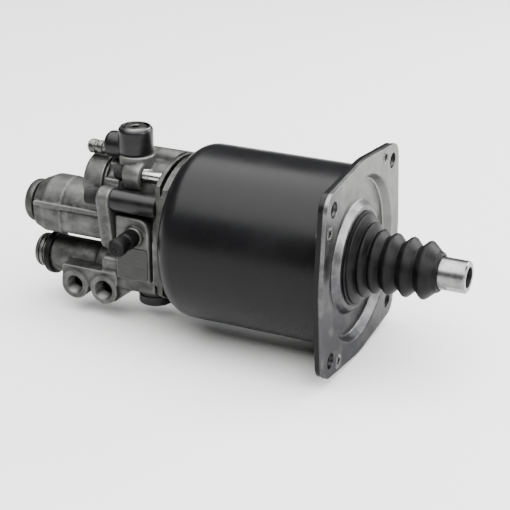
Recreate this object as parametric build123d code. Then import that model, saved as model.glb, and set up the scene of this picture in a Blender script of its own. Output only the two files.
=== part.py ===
from build123d import *
import os
from math import sqrt

# Air-assisted clutch servo, in millimetres.
# +X runs along the push rod, +Z is up. The origin is the centre of the front plate's mounting face.

os.makedirs("parts", exist_ok=True)

# Clearances between pieces
running_gap = 0.05       # radial gap of a piston, rod or valve in its bore
fit_gap = 0.05           # radial gap between fixed pieces that fit each other
free_gap = 0.5           # gap between pieces that pass without touching
gasket_thickness = 0.5

# Front plate, a zinc-plated pressing
plate_thickness = 2.5
rim_width = 7.5          # rim outside the can's wall
corner_radius = 11.3
hole_margin = 12.21      # from the can's wall out to the mounting holes, which puts them 100 mm apart
mounting_hole_radius = 5.25
rivet_margin = 8.6       # from the can's wall out to the rivets
rivet_angle = 33.15
dish_gap = 2.3           # from the can's inner wall in to the dish
dish_slope = 2.7
dish_depth = 6.0
floor_inner_radius = 37.0
boss_radius = 34.0
boss_drop = 1.5
plate_hole_radius = 27.0
press_bend_radius = 1.2

# Rivets between the can's flange and the plate
rivet_radius = 3.4
rivet_bore_radius = 2.3
rivet_head_radius = 4.9
rivet_head_height = 0.9
rivet_sink_depth = 1.5    # the front heads are flush with the mounting face

# Air can, deep-drawn steel
can_radius = 58.5
can_wall = 2.0
can_length = 119.5
dome_radius = 14.0
can_flange_thickness = 3.5
can_flange_inset = 0.4
can_flange_fillet = 3.0
spigot_radius = 20.5

# Ring flange on the can's rear wall, with a groove round its rim and one flat side
ring_thickness = 9.0
ring_inset = 8.5         # from the can's wall in to the ring's rim
ring_step = 1.5          # the part of the rim next to the can is this much smaller
ring_groove_rear = 3.6
ring_groove_width = 1.8
ring_groove_depth = 4.0
ring_flat_offset = 32.0
ring_screw_circle = 26.5
ring_screw_count = 6
ring_screw_radius = 3.0
ring_screw_head_radius = 4.6
ring_screw_head_height = 3.2

# Long bolts round the rod's axis. The second one has a long grooved boss.
long_bolt_inset = 8.0    # from the ring's rim in to the bolts
long_bolt_angles = [113.8, 66.2, 19.3, -62.2]
long_boss_radius = 8.0
long_boss_grooves = [7.0, 11.0]
long_boss_groove_width = 1.4
long_boss_groove_depth = 1.2
long_bolt_radius = 3.9
long_bolt_thread = 3.5
lug_radius = 8.0
lug_length = 13.0
lug_front_gap = 16.5
lug_rounding = 1.5
head_room_length = 30.0
screw_head_radius = 5.2
head_room = 0.6           # free space round a bolt head
screw_head_height = 7.2
socket_radius = 2.9
socket_depth = 3.6

# Main casting
housing_length = 34.0
hub_radius = 24.0
lobe_y = -2.0
lobe_z = 25.0
lobe_radius = 18.5
name_block_y = -30.0
name_block_front_gap = 7.0
name_block_length = 25.5
name_block_rounding = 1.5
name_block_top = 12.0
name_block_bottom = -33.0
name_block_corner = 9.0
foot_thickness = 5.0
foot_radius = 29.0
foot_corner_radius = 6.0
foot_corners = [(-23.5, -30.0), (-23.5, -6.0)]

# Upper pad and elbow fitting
elbow_from_ring = 27.1
elbow_y = -8.0
elbow_radius = 11.7
pad_radius = 12.8
pad_top = 50.0
elbow_height = 17.5
elbow_spigot_radius = 5.5
elbow_spigot_length = 4.5
arm_radius = 9.5
arm_rounding = 4.5
arm_above_pad = 1.3
arm_below_pad = 4.0      # flat underside of the arm, below the pad's top
arm_reach = 18.5
elbow_plug_radius = 8.6
elbow_plug_depth = 5.0

# Nipple in the arm
nipple_below_arm = 1.5
nipple_radius = 4.5
nipple_length = 14.0
nipple_thread_radius = 3.0
nipple_thread_length = 6.0
nipple_groove_depth = 0.9

# Sleeve bolt, through the upper casting's flange and a spacer tube
sleeve_y = -26.7
sleeve_z = 22.0
sleeve_radius = 7.8

# Upper casting with the hydraulic cylinder
flange_thickness = 10.0
hydraulic_bore_radius = 10.6
cylinder_radius = 20.5
cylinder_flat_bottom = 14.0
cylinder_side_corner = 6.0
collar_radius = 21.3
collar_length = 14.0
cylinder_length = 61.0
shoulder_length = 10.0
shoulder_rear_radius = 16.8
shoulder_rear_flat = 13.2
flange_rounding = 1.2
side_rib_bottom = 4.8
side_rib_height = 3.4
side_rib_out = 1.0
flange_lug_radius = 8.0
short_bolt_places = [(23.5, 19.0), (27.0, -10.0)]
short_bolt_radius = 3.0
short_bolt_grip = 12.0
flange_low_corner = (-23.0, -8.0)

# End cap of the upper cylinder
end_cap_radius = 15.2
end_cap_length = 8.0
end_cap_neck_radius = 12.2
end_cap_neck_length = 2.6
end_cap_thread_radius = 9.0
end_cap_thread_length = 5.0

# Cover disc on the upper lobe
cover_radius = 19.0
cover_thickness = 15.0
cover_groove_width = 1.4
cover_spigot_radius = 8.0
cover_spigot_length = 2.6
control_bore_radius = 6.5

# Lower cylinder and its block
lower_z = -37.0
lower_radius = 13.0
lower_bore_radius = 8.5
lower_cylinder_length = 66.5
lower_collar_radius = 14.4
lower_collar_length = 8.0
lower_block_depth = 22.0
lower_block_top = -23.0
lower_block_rear = 14.0
exhaust_ring_radius = 15.4
exhaust_ring_width = 5.0
exhaust_hole_radius = 2.0
exhaust_hole_count = 4
valve_cap_radius = 12.0
valve_cap_length = 10.0
valve_cap_spigot_length = 6.0

# Ports, facing the -Y side
port_face_y = -25.0
port_z = -47.0
port_spacing = 23.0
rear_port_from_joint = 35.5
port_boss_radius = 10.4
port_boss_proud = 1.0
port_plate_depth = 15.0
port_plate_top = -33.5
port_radii = [5.75, 6.25]
port_chamfer = 0.9
port_depth = 14.0
web_thickness = 8.0

# Plug under the main casting
plug_from_ring = 16.0
plug_y = -5.0
plug_boss_radius = 11.0
plug_boss_bottom = -46.0
plug_radius = 12.2
plug_height = 8.0
plug_neck_radius = 10.2
plug_neck_height = 2.2
plug_thread_radius = 7.0
plug_thread_length = 9.0

# Bleed screw and its rubber cap, on the name block's face
bleed_from_ring = 17.5
bleed_z = 0.0
bleed_boss_radius = 6.6
bleed_boss_height = 3.0
bleed_hex = 8.0
bleed_hex_height = 5.0
bleed_stem_radius = 3.4
bleed_stem_length = 14.0
bleed_thread_radius = 3.6
bleed_thread_length = 9.0
dust_cap_radius = 6.3
dust_cap_neck_radius = 5.4
dust_cap_skirt_radius = 6.2
dust_cap_length = 23.0
dust_cap_end_gap = 0.5

# Name plate, bare
name_plate_thickness = 0.6
name_plate_width = 22.5
name_plate_height = 22.0
name_plate_margin = 1.8

# Push rod
rod_radius = 10.0
rod_tip_radius = 10.45
rod_tip_reach = 70.25
rod_socket_radius = 6.9
rod_socket_depth = 14.0
rod_chamfer = 1.0
rod_flat_width = 19.0
rod_flat_length = 13.0
rod_flat_angle = 50.0
rod_spigot_radius = 6.0
rod_spigot_length = 9.0

# Air piston
piston_front = -9.0
piston_rim_width = 16.0
piston_gap = 0.8         # from the can's inner wall in to the piston
piston_web = 6.0
piston_rim_wall = 8.0
piston_hub_radius = 20.0
piston_hub_length = 20.0
collar_on_rod_radius = 14.0
collar_on_rod_length = 4.0
clip_thickness = 1.6
clip_radius = 12.5
clip_groove_depth = 1.0
seal_groove_depth = 5.5
seal_width = 5.0
guide_width = 4.5
guide_groove_depth = 2.0

# Boot: its outer surface as corner points along the rod (x, radius) with the round of each corner
boot_base_radius = 30.4
boot_inner_lip_radius = 28.6
boot_wall = 1.6
boot_corners = [
    ((2.6, 30.4), 1.8),
    ((7.0, 22.0), 0.8),
    ((11.0, 25.8), 2.2),
    ((16.0, 17.0), 0.8),
    ((21.2, 22.4), 2.6),
    ((26.6, 14.6), 0.8),
    ((32.4, 21.9), 2.6),
    ((38.4, 14.0), 0.8),
    ((44.0, 20.9), 2.8),
    ((50.4, 13.4), 1.0),
]
boot_cuff_front = 52.4
boot_cuff_length = 4.0

# Return spring
spring_wire = 3.6
spring_rear_radius = 33.9
spring_front_radius = 27.0
spring_turns = 7

# Hydraulic piston
hydraulic_piston_start = 1.0
hydraulic_piston_length = 14.0
cup_seal_length = 5.0
cup_seal_depth = 3.0
hydraulic_guide_width = 4.0
hydraulic_guide_depth = 1.5

# Bush and seal round the rod
rod_seal_length = 5.0
rod_seal_radius = 13.5
rod_bush_length = 9.5

# Control and relay parts in the upper bore
relay_bore_radius = 10.0
relay_piston_length = 8.0
relay_start = 1.6
relay_stem_radius = 3.6
relay_stem_bore = 2.0
relay_seal_width = 3.0
relay_seal_depth = 2.2
control_piston_length = 10.0
control_seal_width = 2.4
control_seal_depth = 1.4
seat_thickness = 2.4
seat_hole_radius = 5.0
seat_from_piston = 7.0
relay_take_up = 1.0
inlet_disc_radius = 6.6
inlet_disc_thickness = 2.0
inlet_stem_radius = 2.2
inlet_stem_length = 8.2
guide_thickness = 4.0
small_spring_wire = 1.0
relay_spring_radius = 7.0
inlet_spring_radius = 4.6
small_spring_turns = 3

# Radii that follow the can's wall
plate_disc_radius = can_radius + rim_width
hole_offset = (can_radius + hole_margin) / sqrt(2)
dish_rim_radius = can_radius - can_wall - dish_gap
dish_wall_radius = dish_rim_radius - dish_slope
ring_radius = can_radius - ring_inset
piston_radius = can_radius - can_wall - piston_gap

# Places along the rod, worked out from the sizes above
can_front = -plate_thickness
can_rear = can_front - can_length
ring_front = can_rear - gasket_thickness
ring_rear = ring_front - ring_thickness
joint_front = ring_rear - housing_length
joint_rear = joint_front - gasket_thickness
flange_rear = joint_rear - flange_thickness
cylinder_rear = flange_rear - cylinder_length
dome_centre = can_rear + dome_radius
lower_rear = flange_rear - lower_cylinder_length + flange_thickness
lug_front = ring_rear - lug_front_gap
lug_rear = lug_front - lug_length
housing_front = can_rear + can_wall + 1.0
hydraulic_piston_rear = joint_rear + hydraulic_piston_start


def along_x(radius, x0, x1, y=0.0, z=0.0):
    """A round bar along X from x0 to x1."""
    bar = extrude(Plane.YZ * Circle(radius), abs(x1 - x0))
    return Pos(min(x0, x1), y, z) * bar


def tube_x(outer, inner, x0, x1, y=0.0, z=0.0):
    """A round tube along X from x0 to x1."""
    return along_x(outer, x0, x1, y, z) - along_x(inner, x0, x1, y, z)


def block(x0, x1, y0, y1, z0, z1):
    """A box between two corners."""
    box = Box(abs(x1 - x0), abs(y1 - y0), abs(z1 - z0))
    return Pos((x0 + x1) / 2, (y0 + y1) / 2, (z0 + z1) / 2) * box


def slab_x(outline, x0, x1):
    """A flat outline, drawn as (y, z), made thick from x0 to x1."""
    return Pos(min(x0, x1), 0, 0) * extrude(Plane.YZ * outline, abs(x1 - x0))


def turned(points, y=0.0, z=0.0):
    """A piece turned about an axis along X, from its half outline of (x, radius) points."""
    outline = make_face(Polyline(*points, close=True))
    return Pos(0, y, z) * revolve(outline, Axis.X)


def wrapped(circles):
    """The outline of a band stretched round circles given as (y, z, radius)."""
    edges = []
    for y, z, radius in circles:
        edges += (Pos(y, z) * Circle(radius)).edges()
    return make_hull(edges)


def circle_edges(solid, radius, x):
    """The round edges of one radius in the plane at x."""
    found = []
    for edge in solid.edges().filter_by(GeomType.CIRCLE):
        if abs(edge.radius - radius) < 0.01 and abs(edge.arc_center.X - x) < 0.01:
            found.append(edge)
    return found


def coil(wire, rear_x, front_x, rear_radius, front_radius, turns, y=0.0, z=0.0):
    """A coil spring along X, wider at one end where the two radii differ."""
    height = front_x - rear_x - wire
    pitch = height / turns
    if abs(rear_radius - front_radius) < 0.001:
        path = Helix(pitch, height, rear_radius)
    else:
        lean = (rear_radius - front_radius) / height
        path = Helix(pitch, height, rear_radius, cone_angle=-degrees_of(lean))
    section = Plane(origin=path @ 0, z_dir=path % 0) * Circle(wire / 2)
    spring = sweep(section, path=path)
    return Pos(rear_x + wire / 2, y, z) * Rot(0, 90, 0) * spring


def degrees_of(slope):
    """The angle of a slope, in degrees."""
    return Vector(1, 0, 0).get_angle(Vector(1, slope, 0))


def screw_x(shank_radius, seat_x, tip_x, y, z, head_radius=screw_head_radius, head=screw_head_height):
    """A socket-head screw along X, with its head behind seat_x and its shank forward to tip_x."""
    screw = along_x(shank_radius, seat_x, tip_x, y, z)
    cap = along_x(head_radius, seat_x - head, seat_x, y, z)
    cap = chamfer(circle_edges(cap, head_radius, seat_x - head), 0.5)
    socket = slab_x(RegularPolygon(socket_radius, 6), seat_x - head, seat_x - head + socket_depth)
    return screw + cap - Pos(0, y, z) * socket


def plate_outline(inset=0.0):
    """A round disc with four rounded ears, one at each mounting hole."""
    circles = [(0, 0, plate_disc_radius - inset)]
    for y, z in mounting_places():
        circles.append((y, z, corner_radius - inset))
    return wrapped(circles)


def rivet_places():
    """The four rivets, each a quarter turn from the last."""
    spots = PolarLocations(can_radius + rivet_margin, 4, start_angle=90 - rivet_angle + 90)
    return [(spot.position.X, spot.position.Y) for spot in spots]


def mounting_places():
    """The four mounting holes."""
    return [(y, z) for y in (-hole_offset, hole_offset) for z in (-hole_offset, hole_offset)]


def pierced(sheet, x0, x1):
    """A flange with its mounting holes and rivet holes through it."""
    for y, z in mounting_places():
        sheet = sheet - along_x(mounting_hole_radius, x0 - 1, x1 + 1, y, z)
    for y, z in rivet_places():
        sheet = sheet - along_x(rivet_radius + fit_gap, x0 - 1, x1 + 1, y, z)
    return sheet


def make_front_plate():
    """Flat eared rim, dished ring and raised boss, one sheet thick all over."""
    rim = slab_x(plate_outline() - Circle(dish_rim_radius + 1.0), -plate_thickness, 0)
    path = FilletPolyline(
        (0, dish_rim_radius + 1.5),
        (0, dish_rim_radius),
        (-dish_depth, dish_wall_radius),
        (-dish_depth, floor_inner_radius),
        (-boss_drop, boss_radius),
        (-boss_drop, plate_hole_radius),
        radius=press_bend_radius,
    )
    section = make_face(offset(path, amount=plate_thickness, side=Side.RIGHT, closed=True))
    dish = revolve(section, Axis.X)
    plate = pierced(rim + dish, -plate_thickness, 0)
    for y, z in rivet_places():
        plate = plate - rivet_cone(y, z, fit_gap)
    return plate


def rivet_cone(y, z, gap=0.0):
    """The flush front head of a rivet, or the countersink for it."""
    return turned([
        (-rivet_sink_depth, 0),
        (-rivet_sink_depth, rivet_radius + gap),
        (0, rivet_head_radius + gap),
        (0, 0),
    ], y, z)


def make_plate_rivets():
    """Tubular rivets, flared flush at the front and rolled over at the rear."""
    rear = can_front - can_flange_thickness
    rivets = []
    for y, z in rivet_places():
        rivet = along_x(rivet_radius, rear, 0, y, z)
        rivet = rivet + rivet_cone(y, z)
        rivet = rivet + along_x(rivet_head_radius, rear - rivet_head_height, rear, y, z)
        rivet = rivet - along_x(rivet_bore_radius, rear - 2, 2, y, z)
        rivets.append(rivet)
    return Compound(children=rivets)


def make_can():
    """A drawn cup: eared flange, straight wall and domed rear with a hole for the casting's spigot."""
    inner = can_radius - can_wall
    flat = can_radius - dome_radius
    front = can_front - gasket_thickness
    centre = dome_centre
    bend = dome_radius / sqrt(2)
    inner_bend = (dome_radius - can_wall) / sqrt(2)
    hole = spigot_radius + fit_gap
    outline = Curve() + [
        Line((front, can_radius), (centre, can_radius)),
        ThreePointArc((centre, can_radius), (centre - bend, flat + bend), (can_rear, flat)),
        Line((can_rear, flat), (can_rear, hole)),
        Line((can_rear, hole), (can_rear + can_wall, hole)),
        Line((can_rear + can_wall, hole), (can_rear + can_wall, flat)),
        ThreePointArc(
            (can_rear + can_wall, flat),
            (centre - inner_bend, flat + inner_bend),
            (centre, inner),
        ),
        Line((centre, inner), (front, inner)),
        Line((front, inner), (front, can_radius)),
    ]
    cup = revolve(make_face(outline), Axis.X)
    rear = can_front - can_flange_thickness
    flange = slab_x(plate_outline(can_flange_inset) - Circle(inner + can_wall / 2), rear, front)
    can = cup + pierced(flange, rear, front)
    can = fillet(circle_edges(can, can_radius, rear), can_flange_fillet)
    for y, z in ring_screw_places():
        can = can - along_x(ring_screw_radius + fit_gap, can_rear - 1, can_rear + can_wall + 1, y, z)
    return can


def make_can_seal():
    """Flat gasket between the can's flange and the plate."""
    sheet = slab_x(plate_outline(can_flange_inset) - Circle(can_radius), can_front - gasket_thickness, can_front)
    return pierced(sheet, can_front - gasket_thickness, can_front)


def ring_screw_places():
    """The screws from inside the can into the ring flange."""
    spots = PolarLocations(ring_screw_circle, ring_screw_count, start_angle=15)
    return [(spot.position.X, spot.position.Y) for spot in spots]


def make_ring_flange():
    """Cast ring that follows the can's rear wall and dome, with one flat side."""
    flat = can_radius - dome_radius
    reach = dome_radius + gasket_thickness
    front_radius = ring_radius - ring_step
    rise = front_radius - flat
    edge_x = dome_centre - sqrt(reach**2 - rise**2)
    half = rise / 2
    mid_x = dome_centre - sqrt(reach**2 - half**2)
    hole = spigot_radius + fit_gap
    outline = Curve() + [
        Line((ring_rear, hole), (ring_rear, ring_radius)),
        Line((ring_rear, ring_radius), (ring_rear + ring_groove_rear, ring_radius)),
        Line((ring_rear + ring_groove_rear, ring_radius), (ring_rear + ring_groove_rear, front_radius)),
        Line((ring_rear + ring_groove_rear, front_radius), (edge_x, front_radius)),
        ThreePointArc((edge_x, front_radius), (mid_x, flat + half), (ring_front, flat)),
        Line((ring_front, flat), (ring_front, hole)),
        Line((ring_front, hole), (ring_rear, hole)),
    ]
    ring = revolve(make_face(outline), Axis.X)
    groove_front = ring_rear + ring_groove_rear + ring_groove_width
    ring = ring - tube_x(ring_radius + 1, front_radius - ring_groove_depth, ring_rear + ring_groove_rear, groove_front)
    rim = circle_edges(ring, ring_radius, ring_rear) + circle_edges(ring, ring_radius, ring_rear + ring_groove_rear)
    ring = fillet(rim, 0.8)
    side = block(ring_rear - 1, can_front, -ring_radius * 2, -ring_flat_offset, -ring_radius, ring_radius)
    ring = ring - side
    for y, z in long_bolt_places() + [(sleeve_y, sleeve_z)]:
        ring = ring - along_x(long_bolt_thread + fit_gap, ring_rear - 1, can_front, y, z)
    for y, z in ring_screw_places():
        ring = ring - along_x(ring_screw_radius + fit_gap, ring_rear - 1, ring_front + 1, y, z)
    return ring


def make_ring_gasket():
    """Flat gasket between the can and the ring flange."""
    gasket = tube_x(can_radius - dome_radius, spigot_radius + fit_gap, ring_front, can_rear)
    side = block(ring_front - 1, can_rear + 1, -ring_radius * 2, -ring_flat_offset, -ring_radius, ring_radius)
    gasket = gasket - side
    for y, z in ring_screw_places():
        gasket = gasket - along_x(ring_screw_radius + fit_gap, ring_front - 1, can_rear + 1, y, z)
    return gasket


def make_ring_screws():
    """Low round-head screws inside the can, threaded into the ring flange."""
    screws = []
    seat = can_rear + can_wall
    for y, z in ring_screw_places():
        screw = along_x(ring_screw_radius, ring_rear + 0.5, seat, y, z)
        head = along_x(ring_screw_head_radius, seat, seat + ring_screw_head_height, y, z)
        head = fillet(circle_edges(head, ring_screw_head_radius, seat + ring_screw_head_height), 1.2)
        screws.append(screw + head)
    return Compound(children=screws)


def long_bolt_places():
    """The long bolts, as (y, z)."""
    places = []
    for angle in long_bolt_angles:
        spot = Vector(ring_radius - long_bolt_inset, 0, 0).rotate(Axis.Z, angle)
        places.append((spot.X, spot.Y))
    return places


def lug(y, z, radius, x0, x1):
    """A rounded bolt lug that runs in towards the middle of the casting."""
    solid = slab_x(wrapped([(y, z, radius), (y * 0.55, z * 0.55, radius + 2)]), x0, x1)
    ends = solid.edges().group_by(Axis.X)
    return fillet(ends[0] + ends[-1], lug_rounding)


def long_boss():
    """The grooved boss that takes the second long bolt right up to the ring flange."""
    y, z = long_bolt_places()[1]
    boss = along_x(long_boss_radius, lug_rear, ring_rear, y, z)
    for step in long_boss_grooves:
        x = lug_rear + step
        inner = long_boss_radius - long_boss_groove_depth
        boss = boss - tube_x(long_boss_radius + 1, inner, x, x + long_boss_groove_width, y, z)
    return boss


def bolt_head_room():
    """Space round the long bolts' heads, behind their lugs."""
    room = []
    for y, z in long_bolt_places():
        room.append(along_x(screw_head_radius + head_room, lug_rear - head_room_length, lug_rear, y, z))
    return room


def elbow_x():
    """The elbow fitting's upright axis."""
    return ring_rear - elbow_from_ring


def plug_x():
    """The lower plug's upright axis."""
    return ring_rear - plug_from_ring


def bleed_x():
    """The bleed screw's axis."""
    return ring_rear - bleed_from_ring


def port_places():
    """The two ports, the rear one first."""
    rear = joint_front - rear_port_from_joint
    return [rear, rear + port_spacing]


def port_block():
    """The plate with both port bosses, the lower cylinder's support and the web behind it."""
    rear, front = port_places()
    back_y = port_face_y + port_boss_proud
    mid_z = (port_plate_top + port_z) / 2
    plate = block(rear - port_boss_radius, front + port_boss_radius, back_y, back_y + port_plate_depth,
                  port_z, port_plate_top)
    plate = fillet(plate.edges().filter_by(Axis.Y).group_by(Axis.Z)[-1], 2.0)
    for x in (rear, front):
        boss = Rot(90, 0, 0) * Cylinder(port_boss_radius, port_plate_depth + port_boss_proud)
        boss = Pos(x, port_face_y + (port_plate_depth + port_boss_proud) / 2, port_z) * boss
        plate = plate + boss
    web_outline = Polyline(
        (front - port_boss_radius / 2, mid_z),
        (front - port_boss_radius / 2, port_z - port_boss_radius + 0.5),
        (front + port_boss_radius * 0.65, port_z - port_boss_radius + 1.5),
        (plug_x() - 5.0, name_block_bottom - 8.0),
        (plug_x() - 5.0, mid_z + 8.0),
        close=True,
    )
    web = extrude(Plane.XZ * make_face(web_outline), web_thickness)
    return plate + Pos(0, back_y + web_thickness + 3.0, 0) * web


def cut_ports(casting):
    """Both threaded ports, with a countersunk mouth."""
    for x, radius in zip(port_places(), port_radii):
        hole = Rot(90, 0, 0) * Cylinder(radius, port_depth)
        hole = Pos(x, port_face_y + port_depth / 2, port_z) * hole
        mouth = Rot(90, 0, 0) * Cone(radius, radius + port_chamfer, port_chamfer)
        mouth = Pos(x, port_face_y + port_chamfer / 2, port_z) * mouth
        casting = casting - hole - mouth
    return casting


def lower_cylinder():
    """The lower cylinder with its collar and the block that carries it."""
    body = along_x(lower_radius, lower_rear, joint_front, 0, lower_z)
    collar = along_x(lower_collar_radius, flange_rear - lower_collar_length - 6, flange_rear - 6, 0, lower_z)
    collar = fillet(circle_edges(collar, lower_collar_radius, flange_rear - 6), 1.5)
    rear = joint_rear - lower_block_rear
    carrier = block(rear, ring_rear - 8, -lower_block_depth, lower_radius, plug_boss_bottom, lower_block_top)
    carrier = fillet(carrier.edges().filter_by(Axis.X), 4.0)
    return body + collar + carrier


def name_block():
    """The flat-sided block that carries the name plate, round at its upper front corner."""
    front = ring_rear - name_block_front_gap
    shape = block(front - name_block_length, front, name_block_y, 0, name_block_bottom, name_block_top)
    corner = shape.edges().filter_by(Axis.Y).group_by(Axis.Z)[-1].sort_by(Axis.X)
    shape = fillet(corner[-1], name_block_corner)
    side = shape.edges().group_by(Axis.Y)[0]
    return fillet(side, name_block_rounding)


def make_valve_housing():
    """The main casting: hub, relay lobe, pad, lugs, name block, ports and lower cylinder."""
    casting = along_x(hub_radius, joint_front, ring_rear)
    casting = casting + along_x(lobe_radius, joint_front, ring_rear - 1, lobe_y, lobe_z)
    foot = wrapped([(0, 0, foot_radius)] + [(y, z, foot_corner_radius) for y, z in foot_corners])
    casting = casting + slab_x(foot, ring_rear - foot_thickness, ring_rear)
    pad = Pos(elbow_x(), elbow_y, (pad_top + lobe_z) / 2) * Cylinder(pad_radius, pad_top - lobe_z)
    casting = casting + pad
    for y, z in long_bolt_places():
        casting = casting + lug(y, z, lug_radius, lug_rear, lug_front)
    casting = casting + long_boss()
    for y, z in short_bolt_places:
        casting = casting + lug(y, z, flange_lug_radius, joint_front, joint_front + short_bolt_grip + 3)
    casting = casting + name_block() + lower_cylinder() + port_block()
    boss_height = name_block_bottom - plug_boss_bottom + 8
    boss = Cylinder(plug_boss_radius, boss_height)
    casting = casting + Pos(plug_x(), plug_y, plug_boss_bottom + boss_height / 2) * boss
    bleed_boss = Rot(90, 0, 0) * Cylinder(bleed_boss_radius, bleed_boss_height + 2)
    bleed_boss = Pos(bleed_x(), name_block_y - bleed_boss_height / 2 + 1, bleed_z) * bleed_boss
    casting = casting + bleed_boss
    casting = casting + along_x(spigot_radius, ring_rear, housing_front)
    # Room for the sleeve and for the upper cylinder's flange behind the joint
    casting = casting - along_x(sleeve_radius + free_gap, joint_front - 1, ring_rear + 1, sleeve_y, sleeve_z)
    casting = casting - upper_flange_room()
    # Bores
    casting = casting - along_x(hydraulic_bore_radius, joint_front - 1, rod_seal_rear() - 3)
    casting = casting - along_x(rod_radius + free_gap, joint_front - 1, housing_front + 1)
    casting = casting - along_x(rod_seal_radius, rod_seal_rear(), housing_front + 1)
    relay_end = ring_rear - 3.0
    casting = casting - along_x(relay_bore_radius, joint_front - 1, relay_end, lobe_y, lobe_z)
    lower_bore_front = joint_rear - lower_block_rear
    casting = casting - along_x(lower_bore_radius, lower_rear - 1, lower_bore_front, 0, lower_z)
    casting = cut_ports(casting)
    for y, z in long_bolt_places():
        casting = casting - along_x(long_bolt_radius + fit_gap, lug_rear - 1, ring_rear + 1, y, z)
    casting = casting - bolt_head_room()
    for y, z in short_bolt_places:
        casting = casting - along_x(short_bolt_radius + fit_gap, joint_front - 1, joint_front + short_bolt_grip, y, z)
    plug_hole = Cylinder(plug_thread_radius + fit_gap, plug_thread_length + 1)
    casting = casting - Pos(plug_x(), plug_y, plug_boss_bottom + (plug_thread_length - 1) / 2) * plug_hole
    bleed_hole = Rot(90, 0, 0) * Cylinder(bleed_thread_radius + fit_gap, bleed_thread_length + 5)
    bleed_depth = (bleed_thread_length + 5) / 2
    casting = casting - Pos(bleed_x(), name_block_y - 5 + bleed_depth, bleed_z) * bleed_hole
    elbow_hole = Cylinder(elbow_spigot_radius + fit_gap, elbow_spigot_length + 1)
    casting = casting - Pos(elbow_x(), elbow_y, pad_top - (elbow_spigot_length - 1) / 2) * elbow_hole
    holes = exhaust_hole_places()
    for angle in holes:
        drill = Pos(0, 0, lower_radius / 2 + 2) * Cylinder(exhaust_hole_radius, lower_radius + 4)
        drill = Rot(angle, 0, 0) * drill
        casting = casting - Pos(lower_rear + exhaust_ring_width / 2, 0, lower_z) * drill
    return casting


def exhaust_hole_places():
    """Angles of the exhaust holes round the lower cylinder."""
    return [45 + i * 360 / exhaust_hole_count for i in range(exhaust_hole_count)]


def upper_flange_outline():
    """The upper casting's flange: lobe, sleeve lug, side lugs and a straight side."""
    low_y, low_z = flange_low_corner
    near = wrapped([(sleeve_y, sleeve_z, flange_lug_radius), (low_y, low_z, 7.0), (0, 0, hub_radius - 2)])
    lobe = wrapped([(lobe_y, lobe_z, lobe_radius), (0, 0, hub_radius - 2)])
    outline = near + lobe
    for y, z in short_bolt_places:
        outline = outline + wrapped([(y, z, flange_lug_radius), (0, 0, hub_radius - 4)])
    return outline


def upper_flange_room():
    """Space behind the joint that the upper casting's flange and cylinder fill."""
    side = can_radius
    return block(cylinder_rear, joint_front, -side, side, lower_block_top + free_gap, 2 * side)


def cylinder_section(radius, flat):
    """Round above, straight sides and a flat bottom below, as cast."""
    round_top = Circle(radius)
    box = Pos(0, -flat / 2 + 2) * Rectangle(2 * (radius - 0.5), flat + 4)
    box = fillet(box.vertices().group_by(Axis.Y)[0], cylinder_side_corner)
    low = Pos(0, -flat - radius) * Rectangle(4 * radius, 2 * radius)
    return round_top + box - low


def make_hydraulic_cylinder():
    """The upper casting: flange, lobe, ribbed cylinder, collar and tapered shoulder."""
    flange = slab_x(upper_flange_outline(), flange_rear, joint_rear)
    casting = chamfer(flange.edges().group_by(Axis.X)[0], flange_rounding)
    section = cylinder_section(cylinder_radius, cylinder_flat_bottom)
    barrel_rear = cylinder_rear + shoulder_length
    casting = casting + slab_x(section, barrel_rear, flange_rear + 1)
    collar = cylinder_section(collar_radius, cylinder_flat_bottom + 0.5)
    casting = casting + slab_x(collar, barrel_rear, barrel_rear + collar_length)
    front_section = Pos(barrel_rear, 0, 0) * (Plane.YZ * collar)
    rear_section = Pos(cylinder_rear, 0, 0) * (
        Plane.YZ * cylinder_section(shoulder_rear_radius, shoulder_rear_flat)
    )
    casting = casting + loft([front_section, rear_section])
    casting = casting + along_x(lobe_radius, cover_front(), joint_rear, lobe_y, lobe_z)
    rib_top = side_rib_bottom + side_rib_height
    rib = block(cylinder_rear + 3, flange_rear + 1, -cylinder_radius - side_rib_out, -10, side_rib_bottom, rib_top)
    casting = casting + rib
    bore_rear = cylinder_rear + end_cap_thread_length - 1.0
    casting = casting - along_x(hydraulic_bore_radius, bore_rear, joint_rear + 1)
    casting = casting - along_x(end_cap_thread_radius + fit_gap, cylinder_rear - 1, bore_rear + 1)
    casting = casting - along_x(control_bore_radius, cover_front() - 1, joint_rear + 1, lobe_y, lobe_z)
    pocket = cover_front() + cover_spigot_length + fit_gap
    casting = casting - along_x(cover_spigot_radius + fit_gap, cover_front() - 1, pocket, lobe_y, lobe_z)
    casting = casting - along_x(relay_bore_radius, joint_rear - 3, joint_rear + 1, lobe_y, lobe_z)
    casting = casting - bolt_head_room()
    casting = casting - along_x(long_bolt_radius + fit_gap, flange_rear - 1, joint_rear + 1, sleeve_y, sleeve_z)
    for y, z in short_bolt_places:
        casting = casting - along_x(short_bolt_radius + fit_gap, flange_rear - 1, joint_rear + 1, y, z)
    return casting


def make_housing_gasket():
    """Thin gasket between the two castings."""
    outline = upper_flange_outline() + Pos(lobe_y, lobe_z) * Circle(lobe_radius)
    gasket = slab_x(outline, joint_rear, joint_front)
    room = along_x(hydraulic_bore_radius, joint_rear - 1, joint_front + 1)
    room = room + along_x(relay_bore_radius, joint_rear - 1, joint_front + 1, lobe_y, lobe_z)
    room = room + along_x(long_bolt_radius + fit_gap, joint_rear - 1, joint_front + 1, sleeve_y, sleeve_z)
    for y, z in short_bolt_places:
        room = room + along_x(short_bolt_radius + fit_gap, joint_rear - 1, joint_front + 1, y, z)
    return gasket - room - bolt_head_room()


def cover_front():
    """Front face of the cover disc's groove, where the lobe ends."""
    return flange_rear - 1.5


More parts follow.
